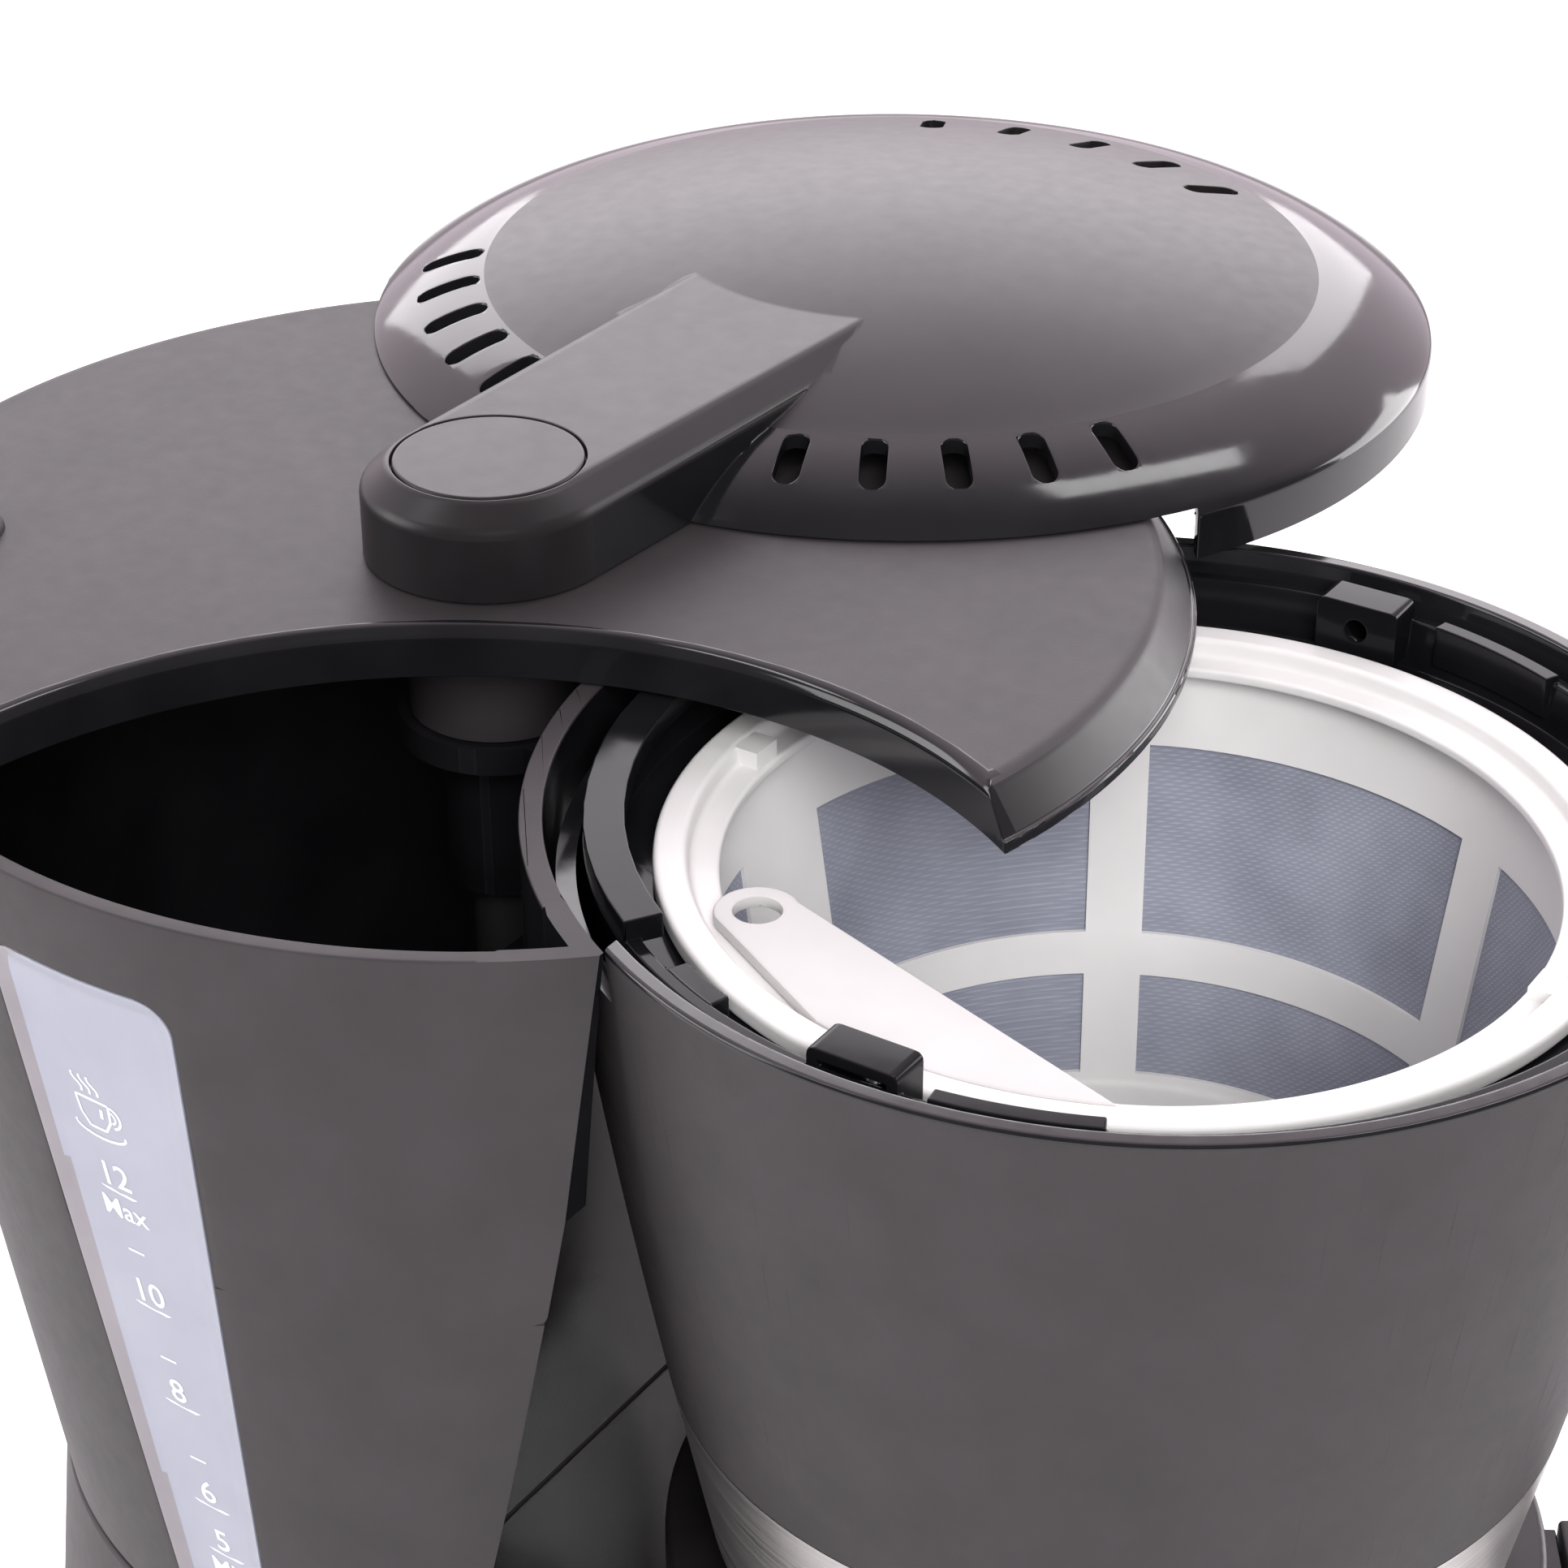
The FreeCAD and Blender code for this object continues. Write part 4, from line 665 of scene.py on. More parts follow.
# %% Window
WINDOW_TOP = corners("water_window")[1].z
WINDOW_FOOT = corners("water_window")[0].z
WINDOW_FRONT = (-9.6, -15.6)
WINDOW_BACK = (5.8, 14.7)
WINDOW_ROUND = 5.0
BORDER = 2.6
BORDER_LIP = 0.3
SINK = 1.1
PANE = 1.3
PANE_GAP = 0.1
WINDOW_REACH = 40.0


def window_edges(z, grow=0.0):
    """Front and back of the window at a height, as y."""
    share = (z - WINDOW_FOOT) / (WINDOW_TOP - WINDOW_FOOT)
    front = WINDOW_FRONT[0] + (WINDOW_FRONT[1] - WINDOW_FRONT[0]) * share
    back = WINDOW_BACK[0] + (WINDOW_BACK[1] - WINDOW_BACK[0]) * share
    drop = max(0.0, WINDOW_ROUND - (WINDOW_TOP - z)) / WINDOW_ROUND
    pull = WINDOW_ROUND * (1 - math.sqrt(max(0.0, 1 - drop * drop)))
    return front + pull - grow, back - pull + grow


def wall_x(y, z, depth):
    """X of the tank's left wall, depth millimetres below its skin."""
    radius = tank_radius(z) - depth
    return -math.sqrt(max(0.0, radius * radius - (y - TANK[1]) ** 2))


def window_opening():
    heights = [WINDOW_TOP + PANE_GAP - WINDOW_ROUND * (1 - math.cos(math.radians(6 * i))) for i in range(16)]
    heights.append(WINDOW_FOOT - PANE_GAP)
    fronts = [(window_edges(min(z, WINDOW_TOP), PANE_GAP)[0], z) for z in heights]
    backs = [(window_edges(min(z, WINDOW_TOP), PANE_GAP)[1], z) for z in reversed(heights)]
    return slab("tool", fronts + backs, -FAR, -WINDOW_REACH)


def window_pane(rows=96, columns=28):
    front_points = []
    for i in range(rows + 1):
        share = i / rows
        z = WINDOW_FOOT + (WINDOW_TOP - WINDOW_FOOT) * (1 - (1 - share) ** 1.6)
        first, last = window_edges(z)
        for j in range(columns + 1):
            y = first + (last - first) * (0.5 - 0.5 * math.cos(math.pi * j / columns))
            inset = min(y - first, last - y, z - WINDOW_FOOT, WINDOW_TOP - z)
            depth = SINK * min(1.0, max(0.0, inset - BORDER_LIP) / BORDER)
            front_points.append((wall_x(y, z, depth), y, z))
    wide = columns + 1
    faces = []
    for i in range(rows):
        for j in range(columns):
            a = i * wide + j
            faces.append((a, a + 1, a + wide + 1, a + wide))
    pane = make_piece("window_pane", front_points, faces)
    thick = pane.modifiers.new("thickness", "SOLIDIFY")
    thick.thickness = PANE * MM
    thick.offset = -1.0 if pane.data.polygons[0].normal.x < 0 else 1.0
    return shade(settle(pane), 60.0)


carve(tank, window_opening())
ease(tank, flat=None, keep=thin_tip)
dress(tank, "machine", "tank_body", dull_black)
# The water space takes the polished black: a real gloss, whose darker colour is also painted shade for the
# tank's inside, which the lid keeps in shadow.
paint(tank, polished_black, in_water)
paint(tank, bay_black, in_bay)
# The ring round the drum and the trimmed front edge take the darkest black: painted shade in the gap between
# tank and drum.
paint(tank, painted_shade_black, on_ring)
paint(tank, painted_shade_black, on_trimmed_edge)
pane = dress(window_pane(), "machine", "water_window", frosted)
# The window's back border takes the darker frost: painted shade.
paint(pane, frosted_painted_shade, lambda p, n: p.y > window_edges(p.z)[1] - BORDER + 0.2 and n.x < 0)

# %% [markdown]
# The scale is printed on the window: cup numbers with a tapered stroke under each, short dashes between
# them, a word at each end and a small cup. Text is made flat, turned into a mesh and then laid on the cone.

# %% Scale on the window
SCALE_ANGLE = 178.0
PRINT_LIFT = 0.05
INK_SPREAD = 0.03
SCALE_LEAN = 0.06
SCALE_TOP = -64.0


def on_window(u, v):
    """A point u to the right and v up on the window's face, seen from outside."""
    z = RIM + v
    angle = math.radians(SCALE_ANGLE) + (u + SCALE_LEAN * (SCALE_TOP - v)) / tank_radius(z)
    radius = tank_radius(z) - SINK + PRINT_LIFT
    return Vector((TANK[0] + radius * math.cos(angle), TANK[1] + radius * math.sin(angle), z))


def lay_print(name, shapes):
    """Flat shapes, as lists of (u, v) corners, laid on the window as one piece."""
    points = []
    faces = []
    for shape in shapes:
        faces.append(tuple(range(len(points), len(points) + len(shape))))
        points.extend(on_window(u, v) for u, v in shape)
    return dress(shade(make_piece(name, points, faces)), "machine", None, white_ink)


def letters(text, size, u, v):
    """Faces of a short text, centred on u with its foot at v."""
    curve = bpy.data.curves.new("letters", "FONT")
    curve.body = text
    curve.size = size
    curve.align_x = "CENTER"
    curve.resolution_u = 4
    curve.offset = INK_SPREAD
    holder = bpy.data.objects.new("letters", curve)
    bpy.context.scene.collection.objects.link(holder)
    mesh = bpy.data.meshes.new_from_object(holder)
    spots = [(point.co.x + u, point.co.y + v) for point in mesh.vertices]
    shapes = [[spots[i] for i in face.vertices] for face in mesh.polygons]
    bpy.data.objects.remove(holder)
    return shapes


def stroke(points, width):
    """A thin ribbon along points."""
    shapes = []
    for a, b in zip(points, points[1:]):
        along = (Vector(b) - Vector(a)).normalized()
        side = Vector((-along.y, along.x)) * width / 2
        shapes.append([tuple(Vector(p) + s) for p, s in ((a, -side), (b, -side), (b, side), (a, side))])
    return shapes


UNDERLINES = {"12": -49.6, "10": -69.4, "8": -86.8, "6": -105.4, "5": -114.8}
DASHES = (-59.6, -78.4, -96.6)
NUMBER_SIZE = 5.6
WORD_SIZE = 4.6
NUMBER_LIFT = 0.9
WORD_DROP = 4.6
TAPERED_STROKE = ((-3.2, 0.25), (3.2, -0.1), (2.4, -0.45), (-2.2, -0.1))
DASH_HALF = 1.4
DASH_WIDTH = 0.35
marks = []
for number, height in UNDERLINES.items():
    marks += letters(number, NUMBER_SIZE, 0, height + NUMBER_LIFT)
    marks.append([(u, height + v) for u, v in TAPERED_STROKE])
marks += letters("Max", WORD_SIZE, 0, UNDERLINES["12"] - WORD_DROP)
marks += letters("Min", WORD_SIZE, 0, UNDERLINES["5"] - WORD_DROP)
for height in DASHES:
    marks += stroke([(-DASH_HALF, height), (DASH_HALF, height)], DASH_WIDTH)
lay_print("cup_scale", marks)

# %% [markdown]
# Above the numbers stands a small steaming cup. It is drawn with the same thin strokes: an outline, an ear
# of two arcs, a saucer, a glint and three wisps of steam.

# %% Cup sign
CUP_FOOT = -39.5
CUP_LINE = 0.38
THIN_LINE = 0.3
GLINT_LINE = 0.5
CUP_OUTLINE = ((-3.0, 5.0), (-2.7, 2.2), (-1.6, 0.4), (1.2, 0.4), (2.4, 2.2), (2.7, 5.0), (-3.0, 5.0))
EAR = (2.6, CUP_FOOT + 3.2)
EAR_OUT = 1.7
EAR_IN = 0.9
SAUCER_HALF = 4.4
SAUCER_DEEP = 1.4
GLINT = ((1.2, 3.9), (1.0, 2.4))
WISPS = (-1.5, -0.1, 1.3)

cup = stroke([(u, CUP_FOOT + v) for u, v in CUP_OUTLINE], CUP_LINE)
cup += stroke(ring_points(EAR_OUT, -80, 80, 10, EAR), CUP_LINE)
cup += stroke(ring_points(EAR_IN, -80, 80, 10, EAR), THIN_LINE)
angles = [math.radians(170 + 20 * i) for i in range(11)]
saucer = [(SAUCER_HALF * math.cos(a), CUP_FOOT + 0.2 + SAUCER_DEEP * math.sin(a)) for a in angles]
cup += stroke(saucer, CUP_LINE)
cup += stroke([(u, CUP_FOOT + v) for u, v in GLINT], GLINT_LINE)
for u in WISPS:
    wisp = [(u - 0.18 * i + 0.4 * math.sin(i), CUP_FOOT + 6.0 + 0.45 * i) for i in range(7)]
    cup += stroke(wisp, CUP_LINE)
lay_print("cup_sign", cup)

# %% [markdown]
# Column and foot carry the tank. The column flares out below a fine seam and is polished inside the bay,
# where it mirrors the room. The foot is the plan of two circles joined by tangents, with its top edge
# rolled over.

# %% Column and foot
BASE_TOP = corners("column_housing")[0].z
BASE_EDGE = corners("base_housing")[0].z
FLARE = 0.11
FRONT_R = DRUM[1] - corners("base_housing")[0].y
FRONT_TAPER = 0.09
DECK = BASE_TOP - WALL
DECK_HOLE_R = 57.0
COLUMN_LIP = 0.8
FOOT_LIP = 0.6
FOOT_ROLL = 1.6
ROLL_SHARES = ((0.55, 0.13), (0.2, 0.4), (0.0, 1.0))


def column_radius(z):
    return tank_radius(WAIST) + FLARE * (WAIST - z)


def column_shell():
    top = WAIST - SEAM
    skin = [(column_radius(BASE_TOP), BASE_TOP), (column_radius(top), top, COLUMN_LIP)]
    outside = soften([(0, BASE_TOP), *skin, (0, top)])
    shell = carve(lathe("column_shell", outside, TANK), bay(0, BASE_TOP - 1, top + 1))
    low_r = column_radius(BASE_TOP - 1) - WALL
    high_r = column_radius(top + 1) - WALL
    hall = lathe("tool", [(0, BASE_TOP - 1), (low_r, BASE_TOP - 1), (high_r, top + 1), (0, top + 1)], TANK)
    return ease(carve(shell, carve(hall, bay(WALL, BASE_TOP - 2, top + 2))))


def foot_plan(z, inset):
    """Two circles joined by tangents."""
    back = column_radius(z) - inset
    front = FRONT_R - FRONT_TAPER * (z - BASE_EDGE) - inset
    lean = math.degrees(math.asin((back - front) / (TANK[1] - DRUM[1])))
    plan = ring_points(front, 180 - lean, 360 + lean, 96, DRUM)
    plan += ring_points(back, lean, 180 - lean, 96, TANK)
    return [(x, y, z) for x, y in plan]


def foot_shell():
    levels = [(BASE_EDGE, FOOT_LIP), (BASE_EDGE + FOOT_LIP, 0.0), (BASE_TOP - FOOT_ROLL, 0.0)]
    levels += [(BASE_TOP - drop * FOOT_ROLL, inset * FOOT_ROLL) for drop, inset in ROLL_SHARES]
    shell = loft("foot_shell", [foot_plan(z, inset) for z, inset in levels])
    carve(shell, loft("tool", [foot_plan(BASE_EDGE - 1, WALL), foot_plan(DECK, WALL)]))
    carve(shell, rod(DECK_HOLE_R, DECK - 1, BASE_TOP + 1, DRUM))
    low, high = corners("switch_frame")
    bezel = 2.7
    hole = block(low.x + bezel, high.x - bezel, low.y - 1, high.y + 1, low.z + bezel, high.z - bezel)
    carve(shell, hole)
    return ease(shell, 0.3)


def in_column_bay(p, n):
    """Whether a face of the column looks into the polished bay."""
    inside = abs(p.x) < BAY_HALF + SLACK and p.y < BAY_BACK + SLACK
    return inside and away(p, TANK) < column_radius(p.z) - SKIN


column = dress(column_shell(), "machine", "column_housing", dull_black)
paint(column, bay_black, in_column_bay)
dress(foot_shell(), "machine", "base_housing", dull_black)

# %% [markdown]
# The tank lid is a shallow disc with a round bite, so that it clears the drum when it is turned. The bite's
# edge is polished and rolled over, and the outer skirt slopes down to a thin stepped lip. It is modelled
# closed and then turned open about the post.

# %% Half-moon lid
LID_OPEN = 59.3
LID_LOW = RIM + 0.4
LID_TOP = RIM + 7.8
LID_FLAT_R = 90.3
LID_EDGE_R = 95.5
LID_WALL = 2.2
LID_LIP = 1.6
BITE_R = 76.7
BITE_ROLL = 2.0
HUB_R = 12.5
HUB_DROP = 15.7
HUB_BORE = 8.06
NUB_R = 7.0
NUB_RISE = 3.0
NUB_REACH = 74.5
NUB_ANGLE = 178.0
QUARTER = [math.radians(9 * i) for i in range(11)]


def lid_shell():
    lip = LID_LOW + LID_LIP
    below = LID_LOW - 1
    above = LID_TOP + 1
    disc = soften([(0, LID_LOW), (LID_EDGE_R, LID_LOW, 0.3), (LID_EDGE_R, lip, 0.3), (LID_EDGE_R - 0.7, lip),
                   (LID_FLAT_R, LID_TOP, 1.6), (0, LID_TOP)])
    shell = lathe("half_moon_lid", disc)
    roll = [(BITE_R + BITE_ROLL * (1 - math.cos(a)), LID_TOP - BITE_ROLL * (1 - math.sin(a)))
            for a in QUARTER]
    bite = [(0, below), (BITE_R, below), *roll, (BITE_R + BITE_ROLL, above), (0, above)]
    carve(shell, lathe("tool", bite, DRUM))
    inner_r = LID_EDGE_R - LID_WALL
    ceiling = LID_TOP - LID_WALL
    room = [(0, below), (inner_r, below), (inner_r, lip), (LID_FLAT_R - LID_WALL / 2, ceiling), (0, ceiling)]
    carve(shell, carve(lathe("tool", room), rod(BITE_R + LID_WALL, below - 1, LID_TOP, DRUM)))
    carve(shell, rod(HUB_R, RIM - HUB_DROP, LID_TOP - LID_WALL / 2, POST, 96), how="UNION")
    carve(shell, rod(HUB_BORE, RIM - 20, above, POST, 96))
    return ease(shell, 0.22)


def finger_nub():
    foot = LID_TOP - 0.5
    dome = [(NUB_R * math.cos(a), LID_TOP + NUB_RISE * math.sin(a)) for a in QUARTER]
    place = ring_points(NUB_REACH, NUB_ANGLE, NUB_ANGLE, 1)[0]
    return shade(lathe("finger_nub", [(0, foot), (NUB_R, foot), *dome], place, 64))


lid = lid_shell()
dress(lid, "lid", "tank_lid", dull_black)
paint(lid, polished_black, lambda p, n: away(p, DRUM) < BITE_R + BITE_ROLL + 0.1 and p.z > LID_LOW - 1)
paint(lid, satin_black, lambda p, n: away(p, POST) > LID_FLAT_R + 0.2 and away(p, DRUM) > BITE_R + BITE_ROLL)
paint(lid, polished_black, lambda p, n: away(p, POST) > LID_EDGE_R - 1.0)
turn(lid, -LID_OPEN)
nub = turn(finger_nub(), -LID_OPEN)
dress(nub, "lid", None, dull_black)

# %% [markdown]
# The shower arm is one moulding with its dome: a flat-topped bar with sloping shoulders, round at the post,
# which runs out into a shallow dome. Below the dome's crease a glossy band slopes down to the skirt. The
# same two outlines, a wall smaller, give the hollow inside.

# %% Domed shower arm
ARM_OPEN = 87.8
ARM_LOW = LID_TOP + 0.3
ARM_TOP = corners("pivot_cap")[1].z
ARM_SHOULDER = ARM_TOP - 3.2
ARM_R = 17.5
ARM_TOP_R = 13.6
ARM_SPREAD = 2.0
ARM_REACH = 82.0
DOME_R = 81.6
CREASE_R = 63.3
CREASE = RIM + 16.0
DOME_TOP = RIM + 24.0
SKIRT_TOP = RIM + 7.6
COVER_WALL = 2.2
LID_SWEEP_R = 97.5
CAP_R = 13.0
CAP_HOLE_R = 13.25
CAP_DEPTH = 1.4


def dome_profile(inset, foot):
    lip = (DOME_R - 1.0 - inset, SKIRT_TOP + 1.0 - inset / 2)
    crease = (CREASE_R - inset / 2, CREASE - inset)
    top = (0, DOME_TOP - inset)
    rise = top[1] - crease[1]
    sphere = (crease[0] ** 2 + rise ** 2) / (2 * rise)
    cap = []
    for i in range(1, 24):
        r = (crease[0] - 2.4) * (1 - i / 24)
        cap.append((r, top[1] - sphere + math.sqrt(sphere ** 2 - r * r)))
    band = bow(lip, crease, 1.2, 10)
    skirt = [(0, foot), (DOME_R - inset, foot), (DOME_R - inset, SKIRT_TOP - inset / 2, 0.8), (*lip, 0.8)]
    return soften([*skirt, *band[:-1], (*crease, 2.2), *cap, top], 6)


def arm_loop(radius, z):
    plan = ring_points(radius, 0, 180, 48)
    plan += [(-radius - ARM_SPREAD, -ARM_REACH), (radius + ARM_SPREAD, -ARM_REACH)]
    return [(x, y, z) for x, y in plan]


def arm_bar(low, shoulder, top, inset):
    wide = ARM_R - inset
    narrow = ARM_TOP_R - inset
    side = soften([(0, low), (wide, low), (wide, shoulder, 1.1), (narrow, top, 0.9), (0, top)])
    return loft("tool", [arm_loop(r, z) for r, z in side[1:-1]] + [arm_loop(narrow - 1.5, top)])


print("dome of", DOME_R, "mm radius on an arm of", ARM_REACH, "mm")

# %% [markdown]
# Steam leaves through three rows of radial slots: two in the glossy band, and one inside the crease on the
# side away from the arm. Each slot is a prism with round ends. Dome and arm are joined as solids, hollowed,
# cut and then turned open about the post.

# %% Vents and cover
VENT_R = 64.6
VENT_LENGTH = 9.6
VENT_WIDTH = 3.7
VENT_PITCH = 9.5
VENT_GROUPS = (50.0, 130.0)
FAR_VENT_R = 51.5
FAR_VENT_PITCH = 14.0
FAR_VENT_GROUP = 270.0


def vent_row(middle, pitch, inner):
    """Five radial slots around one direction."""
    half = VENT_WIDTH / 2
    ends = ring_points(half, 90, 270, 12, (inner + half, 0))
    ends += ring_points(half, -90, 90, 12, (inner + VENT_LENGTH - half, 0))
    slots = [turn(prism("tool", ends, RIM, DOME_TOP + 1), middle + pitch * i) for i in range(-2, 3)]
    return [shift(slot, *DRUM) for slot in slots]


def vents():
    slots = vent_row(FAR_VENT_GROUP, FAR_VENT_PITCH, FAR_VENT_R)
    for group in VENT_GROUPS:
        slots += vent_row(group, VENT_PITCH, VENT_R)
    return slots


def cover_shell():
    shell = lathe("shower_cover", dome_profile(0, RIM + 0.5), DRUM)
    carve(shell, arm_bar(ARM_LOW, ARM_SHOULDER, ARM_TOP, 0), how="UNION")
    carve(shell, lathe("tool", dome_profile(COVER_WALL, RIM - 1), DRUM))
    carve(shell, arm_bar(ARM_LOW - 1, ARM_SHOULDER - 1.1, ARM_TOP - 2.8, COVER_WALL))
    carve(shell, rod(LID_SWEEP_R, RIM - 1, ARM_LOW, POST))
    carve(shell, rod(CAP_HOLE_R, ARM_TOP - CAP_DEPTH, ARM_TOP + 1, POST))
    carve(shell, *vents())
    return ease(shell, 0.25, flat=0.15, sharp=38.0)


def on_band(p, n):
    """Whether a face belongs to the glossy band outside the dome's crease."""
    return away(p, DRUM) > CREASE_R - 0.6 and p.z < CREASE - 0.1 and away(p, POST) > ARM_R + 3


cover = cover_shell()
dress(cover, "arm", "swivel_cover", satin_black)
paint(cover, polished_black, on_band)
turn(cover, ARM_OPEN)

# %% [markdown]
# A thin dark ring lies under the vents, so that no daylight shows through the slots: a sheet of painted
# shade, where the dome's hollow would lie in shadow. It is open where the arm passes. A flat cap closes the
# arm's boss over the post.

# %% Painted shade ring and cap
SHADE_RING_IN = 50.0
SHADE_RING_OUT = 78.0
SHADE_RING_LOW = ARM_LOW + 0.3
SHADE_RING_TOP = ARM_LOW + 0.7


def painted_shade_ring():
    under = [(SHADE_RING_IN, SHADE_RING_LOW), (SHADE_RING_OUT, SHADE_RING_LOW)]
    over = [(SHADE_RING_OUT, SHADE_RING_TOP), (SHADE_RING_IN, SHADE_RING_TOP)]
    passage = block(-ARM_R - 3, ARM_R + 3, DRUM[1], 0, RIM, DOME_TOP)
    return turn(shade(carve(lathe("painted_shade_ring", under + over, DRUM), passage)), ARM_OPEN)


def post_cap():
    low = ARM_TOP - CAP_DEPTH
    side = soften([(0, low), (CAP_R, low), (CAP_R, ARM_TOP, 0.5), (0, ARM_TOP)])
    return shade(lathe("post_cap", side, POST, 128))


# The dark ring under the vents is painted shade.
dress(painted_shade_ring(), "arm", None, dull_black)
dress(post_cap(), "arm", "pivot_cap", satin_black)

# %% [markdown]
# The drum hangs in front of the tank. Its side swells a little on the way down, its rim is a thin polished
# lip, and a band of brushed steel closes it below. At the back it is cut lower, where the tank's ring
# stands behind it.

# %% Drum and steel band
BAND_TOP = corners("steel_band")[1].z
BAND_FOOT = corners("steel_band")[0].z
BAND_R = corners("steel_band")[1].x
BAND_FOOT_R = BAND_R - 0.2 * (BAND_TOP - BAND_FOOT)
DRUM_FOOT = corners("drum_housing")[0].z
DRUM_BELLY = 0.65
DRUM_HOLE_R = 15.0
BACK_CUT = 36.0
BACK_DROP = 8.0
RECESS = 0.6
SHEET = 0.5


def drum_line(inset):
    """Points up the drum's side, at a depth inside its skin."""
    return bow((BAND_R - inset, BAND_TOP), (DRUM_R - inset, RIM), DRUM_BELLY, 24)


def drum_shell():
    outside = [(BAND_R, BAND_TOP, 0.3), *drum_line(0), (DRUM_R, RIM, 0.7)]
    inside = [(DRUM_R - WALL, RIM, 0.5), *reversed(drum_line(WALL)), (BAND_R - WALL, BAND_TOP)]
    foot_r = BAND_FOOT_R - RECESS
    floor = [(foot_r - WALL, DRUM_FOOT + WALL), (DRUM_HOLE_R, DRUM_FOOT + WALL), (DRUM_HOLE_R, DRUM_FOOT)]
    foot = [(BAND_FOOT_R - 2, DRUM_FOOT, 0.5), (BAND_FOOT_R, BAND_FOOT, 0.4)]
    recess = [(foot_r, BAND_FOOT), (BAND_R - RECESS, BAND_TOP)]
    shell = lathe("filter_drum", soften(outside + inside + floor + foot + recess), DRUM)
    carve(shell, block(-FAR, FAR, DRUM[1] + BACK_CUT, 0, RIM - BACK_DROP, RIM + 1))
    return ease(shell, 0.0)


def lip_or_inside(p, n):
    """Whether a face is on the drum's rim or looks towards its axis."""
    inwards = n.dot(Vector((DRUM[0] - p.x, DRUM[1] - p.y, 0))) > 0
    return p.z > RIM - 1.6 or away(p, DRUM) < BAND_R - 5 or (p.z > BAND_TOP and inwards)


def steel_band():
    high, low = (BAND_R, BAND_TOP), (BAND_FOOT_R, BAND_FOOT)
    back = [(r - SHEET, z) for r, z in (high, low)]
    return shade(lathe("brushed_band", [high, *back, low], DRUM))


drum = dress(drum_shell(), "machine", "drum_housing", dull_black)
paint(drum, polished_black, lip_or_inside)
dress(steel_band(), "machine", "steel_band", brushed_steel)

# %% [markdown]
# The filter holder is a polished cup inside the drum. A flat flange covers its back half and ends in a
# step, two hollow lugs with a hole each stand at its sides, and small blocks guide the cover. The filter
# rests on its seat.

# %% Filter holder
HOLDER_GAP = WALL + 1.8
HOLDER_WALL = 2.0
HOLDER_TOP = RIM - 3.0
HOLDER_FLOOR = corners("filter_holder")[0].z + 3.4
SEAT = corners("filter_frame")[1].z - 2.9
FLANGE_TOP = RIM - FIT
SPOUT_IN = 9.0
SPOUT_OUT = 11.0
SEAT_R = 59.0
SEAT_WALL = 1.6
LUG_HALF = 6.0
LUG_DEPTH = 5.5
LUG_H = 8.0


def guide(first, last, inner, outer, low, high):
    """A curved block on the holder's wall, between two angles."""
    plan = ring_points(outer, first, last, 24, DRUM) + ring_points(inner, last, first, 24, DRUM)
    return prism("tool", plan, low, high)


def lug(angle):
    outer = DRUM_R - HOLDER_GAP - HOLDER_WALL
    plan = soften([(-LUG_HALF, FLANGE_TOP - LUG_H), (LUG_HALF, FLANGE_TOP - LUG_H),
                   (LUG_HALF, FLANGE_TOP, 1.2), (-LUG_HALF, FLANGE_TOP, 1.2)])
    body = slab("tool", plan, outer - LUG_DEPTH, outer + 0.5)
    inner = outer - LUG_DEPTH
    half = LUG_HALF - 1.5
    hollow = block(inner + 1.6, outer + 1, -half, half, FLANGE_TOP - LUG_H, FLANGE_TOP - 1.6)
    eye = [(y, FLANGE_TOP - LUG_H / 2 + z) for y, z in ring_points(1.6, 0, 345, 23)]
    eye = slab("tool", eye, inner - 1, inner + 3)
    return shift(turn(carve(body, hollow, eye), angle), *DRUM)


def holder_cup():
    inset = HOLDER_GAP
    deep = inset + HOLDER_WALL
    foot_r = BAND_FOOT_R - RECESS - inset
    low = corners("filter_holder")[0].z
    share = (HOLDER_TOP - BAND_TOP) / (RIM - BAND_TOP)
    top_r = BAND_R + (DRUM_R - BAND_R) * share
    line = [p for p in drum_line(inset) if p[1] < HOLDER_TOP - 1]
    inner = [p for p in drum_line(deep) if p[1] < HOLDER_TOP - 1]
    under = SEAT - SEAT_WALL
    seat = [(DRUM_R - deep - 1.5, SEAT), (SEAT_R, SEAT, 0.3), (SEAT_R, under, 0.3)]
    seat.append((DRUM_R - deep - 2.0, under))
    above = [p for p in reversed(inner) if p[1] > SEAT + 1]
    below = [p for p in reversed(inner) if p[1] < SEAT - 3]
    lip = [(top_r - inset, HOLDER_TOP, 0.4), (top_r - deep, HOLDER_TOP, 0.4)]
    spout = [(SPOUT_IN, HOLDER_FLOOR + 2.0), (SPOUT_IN, low), (SPOUT_OUT, low), (SPOUT_OUT, HOLDER_FLOOR)]
    profile = [(BAND_R - inset, BAND_TOP), *line, *lip, *above, *seat, *below, (BAND_R - deep, BAND_TOP)]
    profile += [(foot_r - 4.0, HOLDER_FLOOR + 4.0, 2.0), *spout, (foot_r, HOLDER_FLOOR, 2.0)]
    cup = lathe("filter_cup", soften(profile), DRUM)
    outer = DRUM_R - inset - 0.3
    carve(cup, guide(33, 147, outer - 5.2, outer, FLANGE_TOP - 3.4, FLANGE_TOP), how="UNION")
    carve(cup, guide(153, 161, outer - 5.0, outer - 1, RIM - 9, RIM - 3.2), how="UNION")
    carve(cup, guide(188, 205, outer - 3.4, outer - 1, RIM - 8, RIM - 2.0), how="UNION")
    carve(cup, guide(334, 351, outer - 3.4, outer - 1, RIM - 8, RIM - 2.0), how="UNION")
    carve(cup, lug(0), lug(180), how="UNION")
    return ease(cup, 0.3, flat=0.15)


# The holder takes the darkest black: painted shade in its narrow gap inside the drum.
dress(holder_cup(), "machine", "filter_holder", painted_shade_black)

